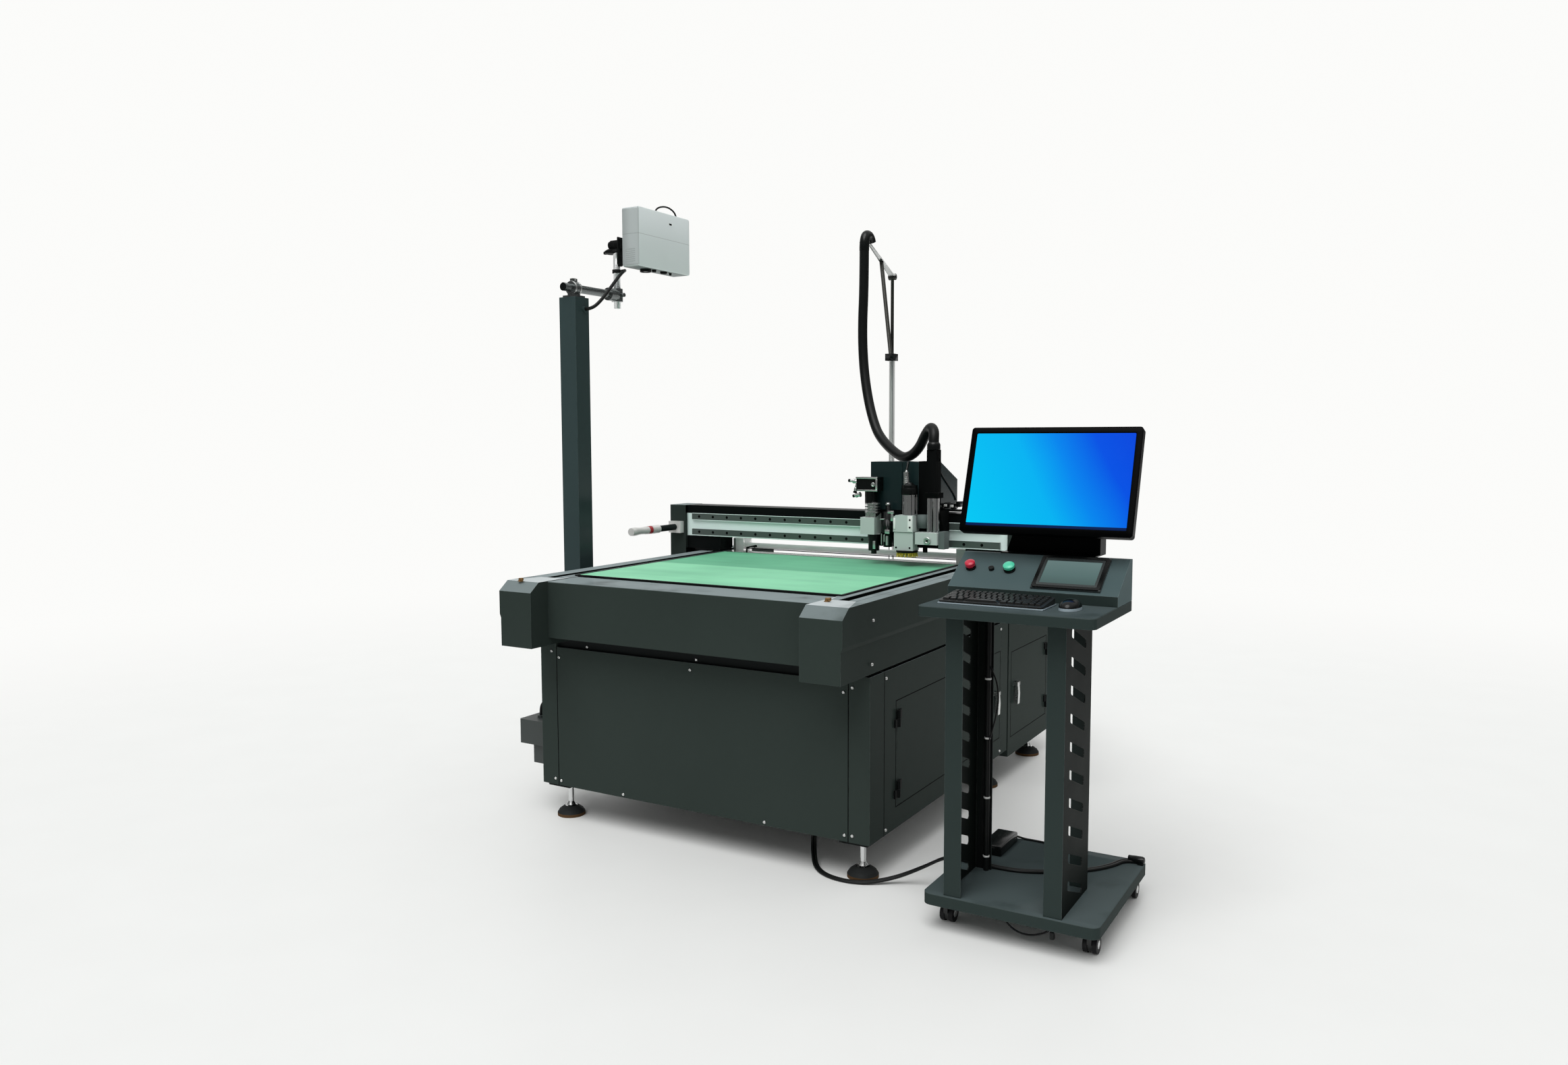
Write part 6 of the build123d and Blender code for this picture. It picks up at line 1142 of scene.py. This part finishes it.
# The slope is coloured lighter than the box's other faces: painted light on the face turned up to the lamp.
dress(powder_coat("slope_lit_coat", (0.069, 0.104, 0.108), 0.5, 0.003, 0.0, 0.12), "console_box")
trim(console_coat, "console_box", lambda x, y, z: x > 1568 or y < 176)
trim(gloss_black, "console_box", lambda x, y, z: above_slope(x, y, z) > 0.6)
stop_red = moulded("stop_red", (0.52, 0.015, 0.045), 0.28, 600)
start_green = moulded("start_green", (0.09, 0.62, 0.40), 0.28, 600)
for node, colour, u, radius, rise, slot in (("stop_button", stop_red, 47, 16, 24, "red_button"),
                                            ("start_button", start_green, 176, 18, 22, "green_button")):
    dress(colour, node)
    dome = ((0, radius + 0.3), (2, radius + 0.4), (4.2, radius - 1.6), (6, radius - 6),
            (7, 0.4 * radius), (7.2, 0))
    settle(node + "_dome", colour, node, slot, turned((u, 95, rise - 4), UP, dome, 32), place=SLOPE)

# The touch panel: a bevelled black plastic frame round a grey glass screen, clipped into the slope
# beside the buttons.


def round_loop(width, height, radius, steps=5):
    """The corners of a rounded rectangle, in order."""
    points = []
    for k, (sx, sy) in enumerate(((1, 1), (-1, 1), (-1, -1), (1, -1))):
        for i in range(steps + 1):
            turn = math.pi / 2 * (k + i / steps)
            points.append((sx * (width / 2 - radius) + radius * math.cos(turn),
                           sy * (height / 2 - radius) + radius * math.sin(turn)))
    return points


def framed(middle, *loops):
    """The form of a closed band through rounded rectangles: width, height, corner radius and rise."""
    x, y = middle
    return lambda shape: skin(shape, [
        [shape.verts.new((x + u, y + v, rise)) for u, v in round_loop(*loop)]
        for *loop, rise in loops], ends=False)


def pane(middle, width, height, low, high, hole):
    """The form of a thin pane, closed down to a pinhole in its middle."""
    return framed(middle, (width, height, 3, low), (width, height, 3, high),
                  (hole, hole, 0.1, high), (hole, hole, 0.1, low))


def glass_screen(name, low, high, turn, colour_ramp):
    material, shader, place = new_finish(name, 0.04)
    x, _, z = place.axes()
    spread = (turn[0] * x + turn[1] * z - low) * (1 / (high - low)) + 0.05 * (place.noise(3, 2) - 0.5)
    picture = spread.node("ShaderNodeValToRGB", {"stops": colour_ramp}, {"Fac": spread})
    picture.into(shader, "Emission Color")
    shader.inputs["Base Color"].default_value = (0.001, 0.001, 0.001, 1)
    shader.inputs["Emission Strength"].default_value = 1.0
    (0.16 + 0.06 * (place.noise(40, 3) - 0.5)).into(shader, "Roughness")
    return material


PANEL_MIDDLE = (373, 90)
dress(moulded("panel_grey", (0.030, 0.038, 0.038), 0.35, 600), "touch_panel")
settle("panel_bezel", gloss_black, "machine", "black_plastic",
       framed(PANEL_MIDDLE, (214, 156, 10, 7), (210, 152, 10, 10.5), (190, 132, 6, 10.5),
              (184, 126, 5, 7.5), (176, 115, 3, 7.5), (176, 115, 3, 6.2), (212, 154, 9, 6.2)), place=SLOPE)
panel_glass = glass_screen("panel_glass", 1.07, 1.15, (0.0, 1.0), (
    (0.0, (0.055, 0.085, 0.080, 1)), (0.55, (0.10, 0.165, 0.16, 1)), (1.0, (0.13, 0.20, 0.195, 1))))
settle("panel_pane", panel_glass, "machine", "dark_gloss", pane(PANEL_MIDDLE, 174, 113, 6.1, 6.9, 0.4),
       place=SLOPE)

# The keyboard: a black moulded wedge that lies loose on the desk, with six rows of tapered keys
# and a pale rim along its foot.

KEY, KEY_ROW, KEY_GAP, ROW_GAP = 18, 18.4, 2.6, 2.4
KEYS_LEFT, KEYS_BACK, WEDGE_FRONT, WEDGE_LOW, WEDGE_FALL = 1075, 129, 2, 1045.2, 14 / 130
matt_black = moulded("matt_black", (0.008, 0.009, 0.009), 0.45)
pale_rim = moulded("pale_rim", (0.30, 0.37, 0.41), 0.4)
dress(matt_black, "keyboard")
settle("keyboard_rim", pale_rim, "machine", "white_plastic",
       slab((1064.5, 0.5, 1035), (1391.5, 133.5, 1039.5), 1.5))
key_rows = ((0.82, 13, 17 * (1.0,)), (1.0, 31, 13 * (1.0,) + (2.0, 1.0, 1.0)),
            (1.0, 50, (1.5,) + 12 * (1.0,) + (1.5, 1.0, 1.0)),
            (1.0, 69, (1.75,) + 11 * (1.0,) + (2.25, 1.0, 1.0)),
            (1.0, 88, (2.25,) + 10 * (1.0,) + (2.75, 1.0, 1.0)),
            (1.0, 107, 3 * (1.25,) + (6.25,) + 4 * (1.25,) + (1.0, 1.0)))
keys = []
for depth, from_back, widths in key_rows:
    x, y = KEYS_LEFT, KEYS_BACK - from_back
    for width in widths:
        keys.append(((x + KEY * width / 2, y, WEDGE_LOW + (y - WEDGE_FRONT) * WEDGE_FALL),
                     (0, -0.107, 0.994),
                     ((KEY * width - KEY_GAP) / 1000, (KEY_ROW * depth - ROW_GAP) / 1000, 1)))
        x += KEY * width
grow("keyboard_keys", raised_keys, keys, {"Height": 0.0062, "Top share": 0.84},
     moulded("key_black", (0.006, 0.0065, 0.0065), 0.36), "machine")

# The mouse: a low black moulded shell on a pale blue rim, loose on the desk, with a rubber wheel
# between its two keys.


def mouse_form(shape):
    """A blunt egg with a flat foot."""
    bmesh.ops.create_uvsphere(shape, u_segments=32, v_segments=18, radius=1)
    for corner in shape.verts:
        x, y, z = corner.co
        corner.co = (1451 + 31.5 * math.copysign(abs(x) ** 0.9, x),
                     72 + 53 * math.copysign(abs(y) ** 0.95, y),
                     1035.2 + (33 * z ** 0.8 if z > 0 else 0))


mouse_shell = settle("mouse_shell", gloss_black, "machine", "black_plastic", mouse_form)
paint_faces(mouse_shell.data, pale_rim, lambda x, y, z: z < 1040.5)
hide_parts("mouse")
settle("mouse_wheel", hinge_black, "machine", "black_plastic",
       pin((1447.5, 48, 1058), RIGHT, 7, 7.5, 1.5, 20))

# The monitor: a thin glossy black screen in a rounded frame, hinged so that it tilts back on a
# bent black steel plate.

SCREEN = tilted((1310, 312, 1397), 0.325568, 0.945519)
screen_black = moulded("screen_black", (0.0007, 0.0009, 0.001), 0.3, 300, 0.02, gloss=0.03)
dress(screen_black, "monitor", "monitor_stand")
settle("monitor_rim", screen_black, "monitor", "dark_gloss",
       framed((0, 0), (548, 350, 12, 12), (546, 348, 12, 16), (540, 342, 12, 17.2), (512, 312, 5, 17.2),
              (508, 308, 4, 15), (508, 308, 4, 13.6), (546, 348, 11, 12)), place=SCREEN)
screen_picture = glass_screen("screen_picture", 1.5, 2.25, (1.0, 0.6), (
    (0.0, (0.0, 0.60, 0.90, 1)), (0.45, (0.0, 0.45, 0.89, 1)), (0.62, (0.0, 0.24, 0.86, 1)),
    (0.8, (0.0, 0.085, 0.78, 1)), (1.0, (0.0, 0.06, 0.72, 1))))
settle("screen_pane", screen_picture, "monitor", "dark_gloss", pane((0, 4), 508, 300, 14.1, 15, 0.5),
       place=SCREEN)
settle("screen_bar", moulded("screen_bar", (0.001, 0.014, 0.085), 0.3, gloss=0.05), "monitor", "dark_gloss",
       slab((-254, -154, 14.1), (254, -145, 15.2)), place=SCREEN)

# The casters: black moulded hoods that swivel under the tray's corners, each on twin rubber wheels
# with pressed silver axle caps.

tread = rubber("wheel_tread", (0.010, 0.010, 0.011), 0.55)
cap_profile = ((0, 13), (1, 13), (2, 11.5), (2, 7), (3, 5.5), (3.4, 0))
for corner in ("front_left", "front_right", "rear_left", "rear_right"):
    wheels = "wheels_" + corner
    dress(matt_black, "caster_" + corner)
    dress(tread, wheels)
    low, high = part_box(wheels)
    left, right = on_datum(low)[0], on_datum(high)[0]
    middle = on_datum((low + high) / 2)[1:]
    settle("axle_caps_" + corner, chrome, wheels, "silver_steel",
           turned((left + 0.5, *middle), LEFT, cap_profile),
           turned((right - 0.5, *middle), RIGHT, cap_profile))

# The floor lead: two black cables side by side, down out of the cabinet, across the floor and over
# the console's tray to the gland at its far corner.

LANE = 5.25
floor_route = ((432, 372, 137), (432, 372, 92), (446, 345, 34), (494, 274, 10.5), (580, 222, 10.5),
               (690, 226, 10.5), (786, 290, 24), (884, 322, 72), (980, 312, 135.5), (1064, 300, 136.5),
               (1149, 297, 134.5), (1231, 302, 134.5), (1320, 344, 134.5), (1426, 422, 134.5),
               (1480, 500, 134.5), (1506, 574, 136.5), (1549, 574, 136.5))
lay_lead("floor_lead", floor_route, LANE, 1.425, "machine", "medium", "loose", "floor_cable", (-LANE, LANE))
